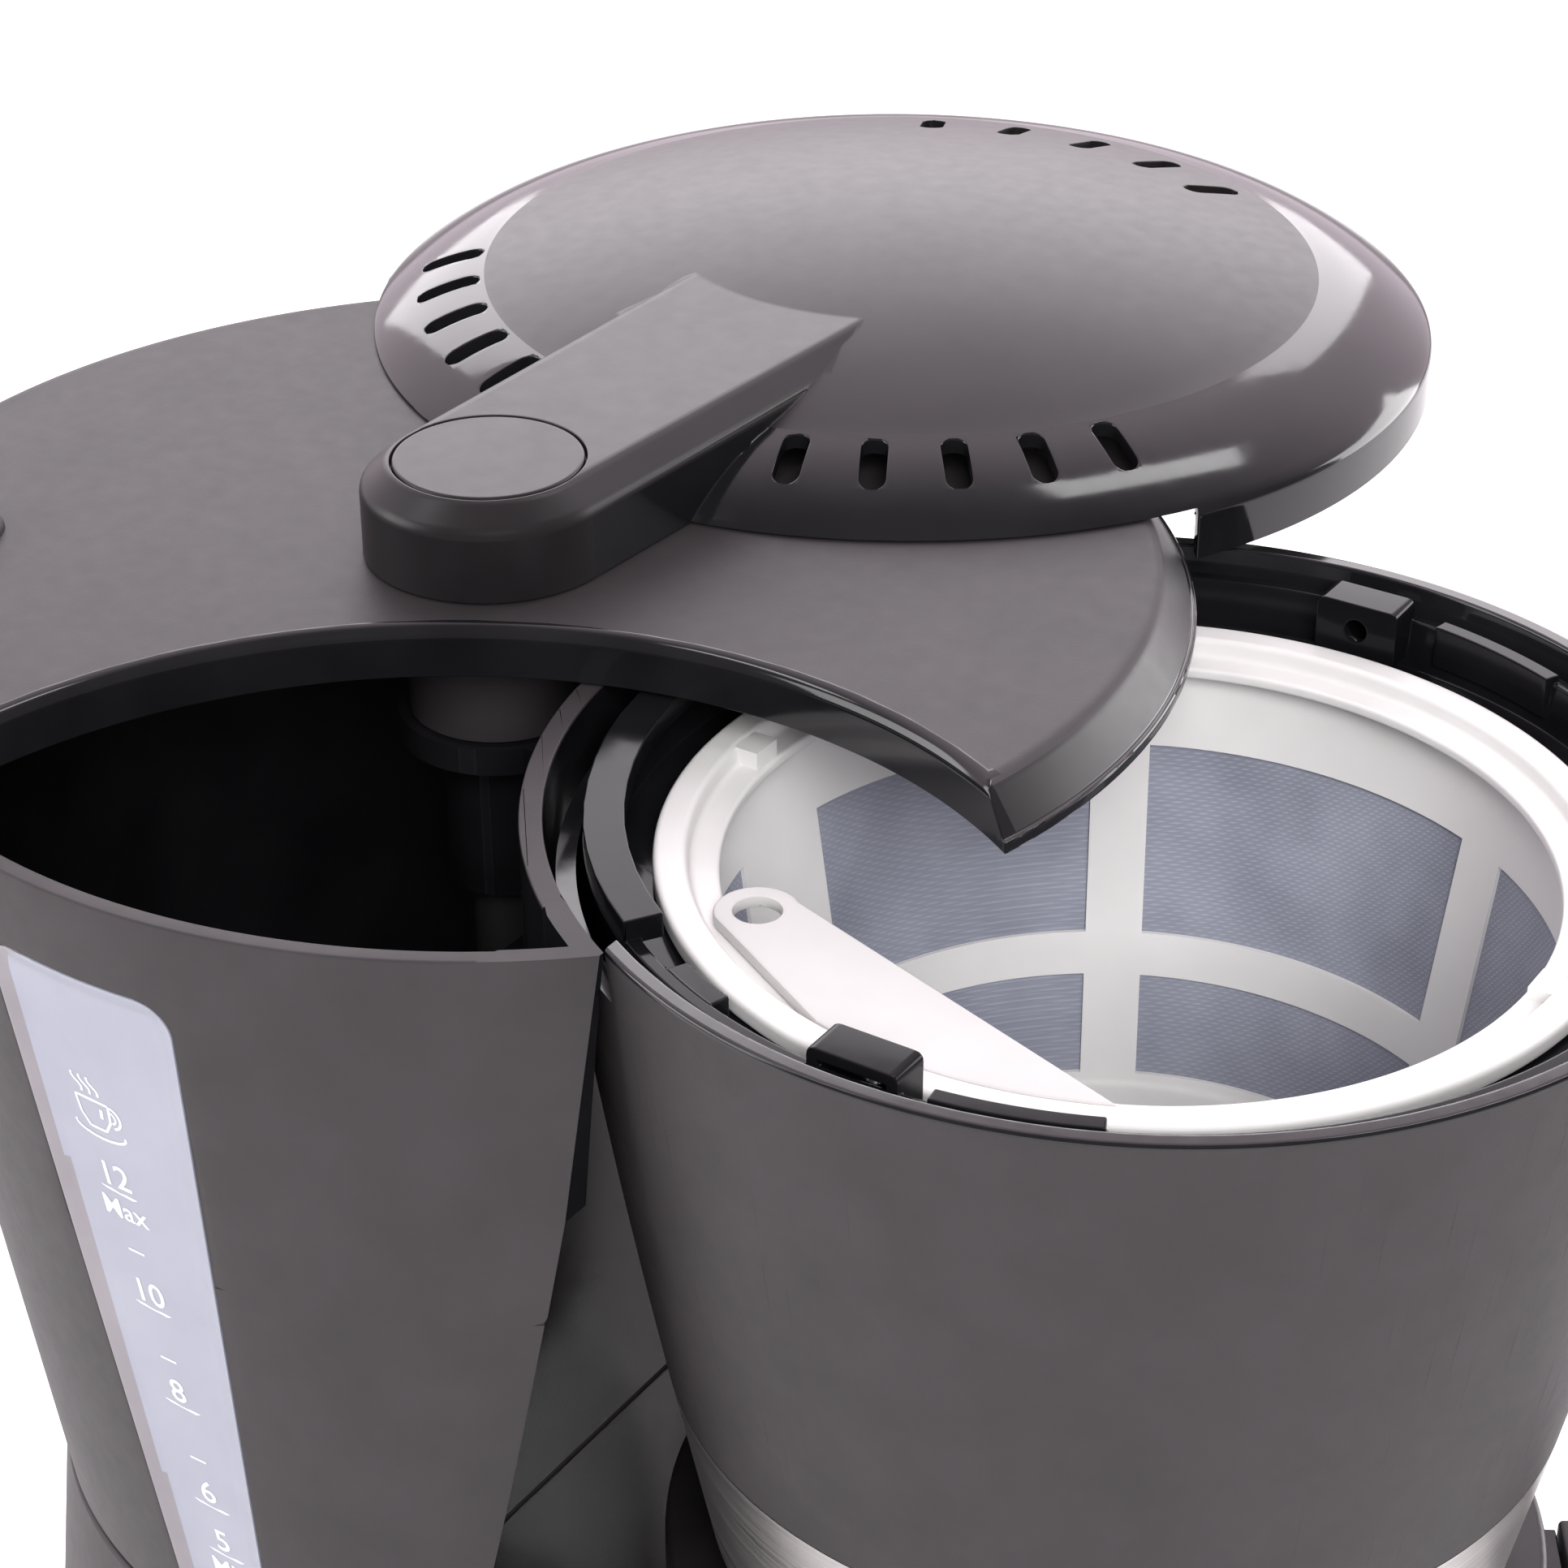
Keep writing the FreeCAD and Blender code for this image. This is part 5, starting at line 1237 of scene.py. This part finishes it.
# %% [markdown]
# The permanent filter is a white basket: a broad rim, an inner ledge, six ribs with a cross bar, and a net
# moulded into the wall so that the ribs show inside. A flat lifting tab with an eye lies along its left
# side.

# %% Filter basket
FILTER_TOP = corners("filter_frame")[1].z
FILTER_FLOOR = corners("filter_floor")[0].z
FILTER_RIM_R = corners("filter_frame")[1].x
BASKET_TOP_R = 58.2
BASKET_FLOOR_R = 48.0
BASKET_WALL = 1.6
LEDGE = FILTER_TOP - 2.6
LEDGE_R = 52.5
NET_SHEET = 0.2
RIB = 8.0
WIDE_RIB = 18.0
ROWS = ((RIM - 51.5, RIM - 23.0), (FILTER_FLOOR + 3.5, RIM - 58.0))


def basket_radius(z):
    return BASKET_FLOOR_R + (BASKET_TOP_R - BASKET_FLOOR_R) * (z - FILTER_FLOOR) / (FILTER_TOP - FILTER_FLOOR)


def panel(number, low, high, reach=FILTER_RIM_R + 4):
    """The gap between two ribs, as a wedge whose sides run along them."""
    first = 90 + 60 * number
    near_rib = WIDE_RIB if number == 0 else RIB
    far_rib = WIDE_RIB if number == 5 else RIB
    ends = []
    for angle, half in ((first, near_rib / 2), (first + 60, -far_rib / 2)):
        a = math.radians(angle)
        along = Vector((math.cos(a), math.sin(a)))
        side = Vector((-math.sin(a), math.cos(a))) * half
        ends.append((along * 20 + side, along * reach + side))
    middle = ring_points(reach * 1.2, first + 30, first + 30, 1)[0]
    plan = [tuple(ends[0][0]), tuple(ends[0][1]), middle, tuple(ends[1][1]), tuple(ends[1][0])]
    return shift(prism("tool", plan, low, high), *DRUM)


def basket():
    wall = BASKET_WALL
    under = LEDGE - 1.6
    floor = FILTER_FLOOR + wall
    ledge_out = basket_radius(LEDGE)
    rim = [(FILTER_RIM_R, FILTER_TOP, 0.9), (FILTER_RIM_R, LEDGE, 0.5), (ledge_out, LEDGE)]
    sole = [(BASKET_FLOOR_R, FILTER_FLOOR, 1.0), (0, FILTER_FLOOR), (0, floor)]
    inside = [(basket_radius(floor) - wall, floor, 1.0), (basket_radius(under) - wall, under, 0.5)]
    ledge = [(LEDGE_R, under, 0.5), (LEDGE_R, LEDGE, 0.6), (ledge_out - wall, LEDGE, 0.8)]
    mouth = [(BASKET_TOP_R - wall, FILTER_TOP, 0.9)]
    profile = soften(rim + sole + inside + ledge + mouth, 5)
    frame_piece = lathe("filter_basket", profile, DRUM)
    for number in range(6):
        carve(frame_piece, *[panel(number, low, high) for low, high in ROWS])
        carve(frame_piece, panel(number, FILTER_FLOOR - 1, floor + 1, 34.0))
    for angle, high in ((94, LEDGE + 2.4), (270, LEDGE + 1.6)):
        x, y = ring_points(55.0, angle, angle, 1, DRUM)[0]
        carve(frame_piece, block(x - 2.4, x + 2.4, y - 1.8, y + 1.8, LEDGE - 1, high), how="UNION")
    return ease(frame_piece, 0.0, flat=None)


def net_cup():
    high = LEDGE - 1.0
    depth = 0.8
    low = FILTER_FLOOR + depth
    low_r = basket_radius(low) - depth
    high_r = basket_radius(high) - depth
    floor = low + NET_SHEET
    profile = [(0, low), (low_r, low), (high_r, high), (high_r - NET_SHEET, high)]
    profile += [(low_r - NET_SHEET, floor), (0, floor)]
    return shade(lathe("filter_net", profile, DRUM))


def lifting_tab():
    low = LEDGE + 0.1
    edge = basket_radius(low) - BASKET_WALL - 0.4
    eye = ring_points(49.6, 139, 139, 1)[0]
    plan = ring_points(5.5, 319, 499, 24, eye) + ring_points(edge, 166, 206, 24)
    tab = prism("lifting_tab", plan, low, low + 1.8)
    carve(tab, rod(3.0, low - 1, low + 3, eye, 48))
    return ease(shift(tab, *DRUM), 0.5, flat=None)


white_basket = dress(basket(), "machine", "filter_frame", white_plastic)
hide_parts("filter_floor")
dress(net_cup(), "machine", "filter_mesh", net)
# The lifting tab takes the greyer copy of the white: painted shade.
dress(lifting_tab(), "machine", "filter_handle", painted_shade_white)

# %% [markdown]
# The carafe is a blown jug with a moulded collar, a loop handle and a dished lid. Most of it lies below the
# view, but it is made whole, to be seen from all sides. Glass needs both its skins, so the profile goes down
# outside and up inside.

# %% Carafe
CARAFE_TURN = 30.0
JUG_LOW = corners("carafe_glass")[0].z
JUG_TOP = corners("carafe_glass")[1].z
JUG = ((46.0, 0.0), (56.0, 8.0), (70.0, 46.0), (58.0, JUG_TOP - JUG_LOW - 18.0))
GLASS = 2.2
MOUTH_R = 58.0
COLLAR_R = 61.3
COLLAR_BORE = 58.3
COLLAR_LIP_R = 55.8
HANDLE_HALF = 7.0
PLUG_IN = 53.7
PLUG_OUT = 55.5
PLUG_DEPTH = 8.0
DISH_DEPTH = 2.5
KNOB_R = 8.0


def jug_line(inset):
    sole, heel, belly, neck = [(r - inset, JUG_LOW + z) for r, z in JUG]
    sole = (sole[0], sole[1] + inset)
    line = [sole, *bow(sole, heel, 2.0, 8), heel, *bow(heel, belly, 4.0, 16)]
    return line + [belly, *bow(belly, neck, 4.0, 16), neck]


def jug():
    mouth = [(MOUTH_R, JUG_TOP, 0.8), (MOUTH_R - GLASS, JUG_TOP, 0.8)]
    outside = [(0, JUG_LOW), *jug_line(0), *mouth]
    inside = [*reversed(jug_line(GLASS)), (0, JUG_LOW + GLASS)]
    return shade(lathe("glass_jug", soften(outside + inside), DRUM))


def collar():
    low = corners("carafe_collar")[0].z
    high = corners("carafe_collar")[1].z
    seat = JUG_TOP + FIT
    outside = [(COLLAR_BORE, low), (COLLAR_R, low, 0.8), (COLLAR_R, high, 0.8)]
    inside = [(COLLAR_LIP_R, high, 0.5), (COLLAR_LIP_R, seat), (COLLAR_BORE, seat)]
    ring = lathe("jug_collar", soften(outside + inside), DRUM)
    pad = shift(block(-HANDLE_HALF, HANDLE_HALF, -64.3, -59.5, low, high), *DRUM)
    carve(ring, pad, how="UNION")
    return turn(ease(ring, 0.3), CARAFE_TURN, DRUM)


def handle():
    top = corners("carafe_handle")[1].z
    low = corners("carafe_handle")[0].z
    under = corners("carafe_collar")[0].z
    near = 64.4
    far = 108.0
    foot = 101.0
    heel = 70.6
    thick = 11.0
    bend = 20.0
    inner_bend = 10.0
    outside = [(near, under), (near, top, 1.0), (far, top, bend), (foot, low, bend), (heel, low, 2.0)]
    inside = [(heel, low + thick, 2.0), (foot - thick, low + thick, inner_bend)]
    inside.append((far - thick, under, inner_bend))
    side = [(DRUM[1] - r, z) for r, z in soften(outside + inside, 10)]
    piece = slab("jug_handle", side, -HANDLE_HALF, HANDLE_HALF)
    bevel = piece.modifiers.new("grip", "BEVEL")
    bevel.width = 3.0 * MM
    bevel.segments = 5
    bevel.angle_limit = math.radians(60)
    return turn(shade(settle(piece)), CARAFE_TURN, DRUM)


def jug_lid():
    low = corners("carafe_collar")[1].z + 0.1
    high = corners("carafe_lid")[1].z
    end = low - PLUG_DEPTH
    dish = high - DISH_DEPTH
    plug = [(0, low), (PLUG_IN, low), (PLUG_IN, end), (PLUG_OUT, end, 0.4), (PLUG_OUT, low)]
    rim = [(COLLAR_R, low, 0.4), (COLLAR_R, high, 1.6), (40.0, high, 0.8), (38.0, dish, 0.8)]
    knob = [(KNOB_R, dish, 0.6), (KNOB_R, high, 0.8), (0, high)]
    profile = soften(plug + rim + knob)
    lid_piece = lathe("jug_lid", profile, DRUM)
    for i in range(6):
        place = ring_points(14.0, 60 * i, 60 * i, 1, DRUM)[0]
        carve(lid_piece, rod(2.0, low - 1, high + 1, place, 32))
    return ease(lid_piece, 0.2)


dress(jug(), "carafe", "carafe_glass", clear_glass)
dress(collar(), "carafe", "carafe_collar", polished_black)
dress(handle(), "carafe", "carafe_handle", satin_black)
dress(jug_lid(), "carafe", "carafe_lid", satin_black)

# %% [markdown]
# The warming plate is a coated disc with a rolled edge, and the four feet are turned rubber buttons. Both
# are small profiles on the lathe.

# %% Warming plate and feet
def warming_plate():
    low, high = corners("hot_plate")
    r = high.x
    face = [(0, high.z - 0.4), (r - 12, high.z - 0.4, 1.0), (r - 11, high.z, 1.0), (r, high.z, 1.4)]
    under = [(r, low.z, 0.2), (r - 1.4, low.z), (r - 1.4, high.z - 1.6), (0, high.z - 1.8)]
    return shade(lathe("warming_plate", soften(face + under), DRUM))


def feet():
    low, high = corners("rubber_feet")
    radius = 9.0
    hollow = [(0, 0.6), (5.0, 0.6, 0.4), (5.6, 0, 0.4)]
    sole = soften(hollow + [(radius, 0, 1.2), (radius - 0.6, BASE_EDGE, 0.2), (0, BASE_EDGE)])
    back_y = high.y - radius
    front_y = low.y + radius
    back_x = high.x - radius
    front_x = (FRONT_R - 20.0) * math.cos(math.radians(50))
    whole = None
    for x, y in ((-back_x, back_y), (back_x, back_y), (-front_x, front_y), (front_x, front_y)):
        button = shade(lathe("rubber_buttons", sole, (x, y), 64))
        if whole:
            carve(whole, button, how="UNION")
        whole = whole or button
    return shade(whole)


dress(warming_plate(), "machine", "hot_plate", plate_black)
dress(feet(), "machine", "rubber_feet", rubber_black)

# %% [markdown]
# The drip stop is pressed down by a small coil spring. The frame holds it as a plain sleeve; here it is a
# real wire coil.

# %% Valve spring
WIRE_R = 0.4
COILS = 5
COIL_STEPS = 32


def coil():
    low, high = corners("valve_spring")
    middle = (low + high) / 2
    radius = (high.x - low.x) / 2 - WIRE_R - 0.02
    first = low.z + WIRE_R
    climb = (high.z - low.z - 2 * WIRE_R) / (COILS * COIL_STEPS)
    loops = []
    for i in range(COILS * COIL_STEPS + 1):
        a = 2 * math.pi * i / COIL_STEPS
        out = Vector((math.cos(a), math.sin(a), 0))
        heart = middle.xy.to_3d() + out * radius + Vector((0, 0, first + climb * i))
        wire = ring_points(WIRE_R, 0, 315, 7)
        loops.append([tuple(heart + out * u + Vector((0, 0, v))) for u, v in wire])
    return shade(loft("coil_spring", loops))


spring = coil()
spring.data.materials.append(zinc_plate)
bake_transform(spring)
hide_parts("valve_spring")
print(spring.name, "with", COILS, "coils")

# %% [markdown]
# What is left keeps its CAD shape: small fittings, the inner works and the underside. Each takes the finish
# of its slot in the record.

# %% Remaining nodes
SLOT_FINISH = {
    "black_matte": dull_black,
    "black_gloss": polished_black,
    "white_plastic": white_plastic,
    "window": frosted,
    "filter_net": net,
    "brushed_band": brushed_steel,
    "carafe_glass": clear_glass,
    "rubber": rubber_black,
    "silicone": milky_tube,
    "cast_aluminium": cast_metal,
    "zinc_steel": zinc_plate,
    "plate_coating": plate_black,
}
DARK_TUBES = ("riser_pipe",)
plain = 0
for part in frame["record"]["subparts"]:
    node = frame["nodes"][part["node"]]
    if node.hide_render:
        continue
    node.data.materials.clear()
    finish = dark_tube if part["node"] in DARK_TUBES else SLOT_FINISH[part["material_slot"]]
    node.data.materials.append(finish)
    plain += 1
print("nodes that keep their CAD shape:", plain)

# %% [markdown]
# The studio has a floor that stays white to the eye but keeps the machine's shadow. Its glow is seen by the
# camera only, also through glass, so it adds no light to the machine.

# %% Floor
FLOOR_HALF = 4000.0
FLOOR_DROP = 0.2
FLOOR_GLOW = 0.42


def seen_straight(owner):
    """One for rays that come from the camera or through glass, and otherwise zero."""
    path = add(owner, "ShaderNodeLightPath")
    seen = calculate(owner, "MAXIMUM")
    join(owner, path, "Is Camera Ray", seen, 0)
    join(owner, path, "Is Transmission Ray", seen, 1)
    return seen


def floor_finish():
    finish, shader = new_finish("white_floor", 0.8, level=0.1)
    mottle(finish, shader, (0.80, 0.80, 0.80), (0.82, 0.82, 0.82), 400.0)
    glow = calculate(finish, "MULTIPLY")
    glow.inputs[1].default_value = FLOOR_GLOW
    join(finish, seen_straight(finish), "Value", glow, 0)
    shader.inputs["Emission Color"].default_value = (1, 1, 1, 1)
    join(finish, glow, "Value", shader, "Emission Strength")
    return finish


signs = ((-1, -1), (1, -1), (1, 1), (-1, 1))
square = [(x * FLOOR_HALF, y * FLOOR_HALF, -FLOOR_DROP) for x, y in signs]
floor = make_piece("studio_floor", square, [(0, 1, 2, 3)])
floor.data.materials.append(floor_finish())
print("floor", FLOOR_HALF * 2, "mm wide")

# %% [markdown]
# The world is white to the eye. To the gloss it is bright behind the machine and dim on the camera's side,
# as in a room with one bright wall, so the polished faces show a clear line of light.

# %% World
BACK_LIGHT = 1.5
ROOM_LIGHT = 0.2
ROOM_TINT = (1.0, 0.86, 0.95, 1.0)
AWAY_FROM_CAMERA = (0.839, 0.544, 0.0)
DIM_UNTIL = -0.1
BRIGHT_FROM = 0.65

world = bpy.data.worlds.new("white_room")
bpy.context.scene.world = world
world.use_nodes = True
room = world.node_tree.nodes["Background"]
look = add(world, "ShaderNodeTexCoord")
side = add(world, "ShaderNodeVectorMath")
side.operation = "DOT_PRODUCT"
side.inputs[1].default_value = AWAY_FROM_CAMERA
join(world, look, "Generated", side, 0)
glow = add(world, "ShaderNodeMapRange")
glow.interpolation_type = "SMOOTHSTEP"
glow.inputs["From Min"].default_value = DIM_UNTIL
glow.inputs["From Max"].default_value = BRIGHT_FROM
glow.inputs["To Min"].default_value = ROOM_LIGHT
glow.inputs["To Max"].default_value = BACK_LIGHT
join(world, side, "Value", glow, "Value")
seen = seen_straight(world)
level = add(world, "ShaderNodeMix")
level.inputs["B"].default_value = 1.0
join(world, seen, "Value", level, "Factor")
join(world, glow, "Result", level, "A")
join(world, level, "Result", room, "Strength")
tint = add(world, "ShaderNodeMix")
tint.data_type = "RGBA"
tint.inputs["A"].default_value = ROOM_TINT
tint.inputs["B"].default_value = (1, 1, 1, 1)
join(world, seen, "Value", tint, "Factor")
join(world, tint, "Result", room, "Color")
print("world light", ROOM_LIGHT, "to", BACK_LIGHT)

# %% [markdown]
# Lamps: wide soft boxes behind and at both sides rake over the flat tops, two strips lay lines on the
# gloss, and a top and a fill light open the shadows. Those last two are not mirrored, so they leave no
# patches on polished faces.

# %% Lamps
AIM = Vector((0.0, -0.05, 0.25))


def soft_box(name, place, width, height, power, mirrored=True):
    """A lamp that looks at the machine, with its place and size in metres."""
    lamp = bpy.data.lights.new(name, "AREA")
    lamp.shape = "RECTANGLE"
    lamp.size = width
    lamp.size_y = height
    lamp.energy = power
    holder = bpy.data.objects.new(name, lamp)
    holder.location = place
    holder.rotation_euler = (AIM - Vector(place)).to_track_quat("-Z", "Y").to_euler()
    holder.visible_glossy = mirrored
    bpy.context.scene.collection.objects.link(holder)
    print(name, power, "W")


soft_box("back_box", (1.2, 0.8, 0.9), 1.6, 0.8, 11.0)
soft_box("left_box", (-0.9, 1.2, 0.8), 1.0, 1.0, 14.0)
soft_box("right_box", (1.3, -0.8, 0.5), 0.9, 0.9, 14.0)
soft_box("left_strip", (-0.45, 0.7, 1.6), 0.2, 0.6, 2.5)
soft_box("right_strip", (0.7, -0.35, 1.6), 0.2, 0.6, 2.5)
soft_box("top_box", (-0.2, -0.3, 1.7), 0.9, 0.9, 3.0, mirrored=False)
soft_box("fill_box", (-1.0, -0.95, 1.25), 0.8, 0.8, 34.0, mirrored=False)

# %% [markdown]
# The camera stands where the photograph's did: to the front left and well above, with a long lens. Its
# place came from the circles of the rim, the lid and the dome, and the focal length is given in pixels of
# the square image.

# %% Camera
IMAGE = 1932
FOCAL_PIXELS = 4575.3
SENSOR = 36.0
EYE = Vector((-358.0, -279.2, 537.1))
HEADING = Vector(AWAY_FROM_CAMERA).normalized()
PITCH = math.radians(30.14)
ROLL = math.radians(-0.15)

forward = HEADING * math.cos(PITCH) - Vector((0, 0, 1)) * math.sin(PITCH)
right = forward.cross(Vector((0, 0, 1))).normalized()
up = right.cross(forward)
axes = Matrix((right, up, -forward)).transposed()
lens = bpy.data.cameras.new("photo_camera")
lens.sensor_width = SENSOR
lens.lens = FOCAL_PIXELS / IMAGE * SENSOR
lens.clip_start = 0.01
camera = bpy.data.objects.new("photo_camera", lens)
camera.matrix_world = Matrix.Translation(EYE * MM) @ axes.to_4x4() @ Matrix.Rotation(ROLL, 4, "Z")
bpy.context.scene.collection.objects.link(camera)
bpy.context.scene.camera = camera
bpy.context.scene.view_settings.view_transform = "Standard"
print("lens", round(lens.lens, 2), "mm")
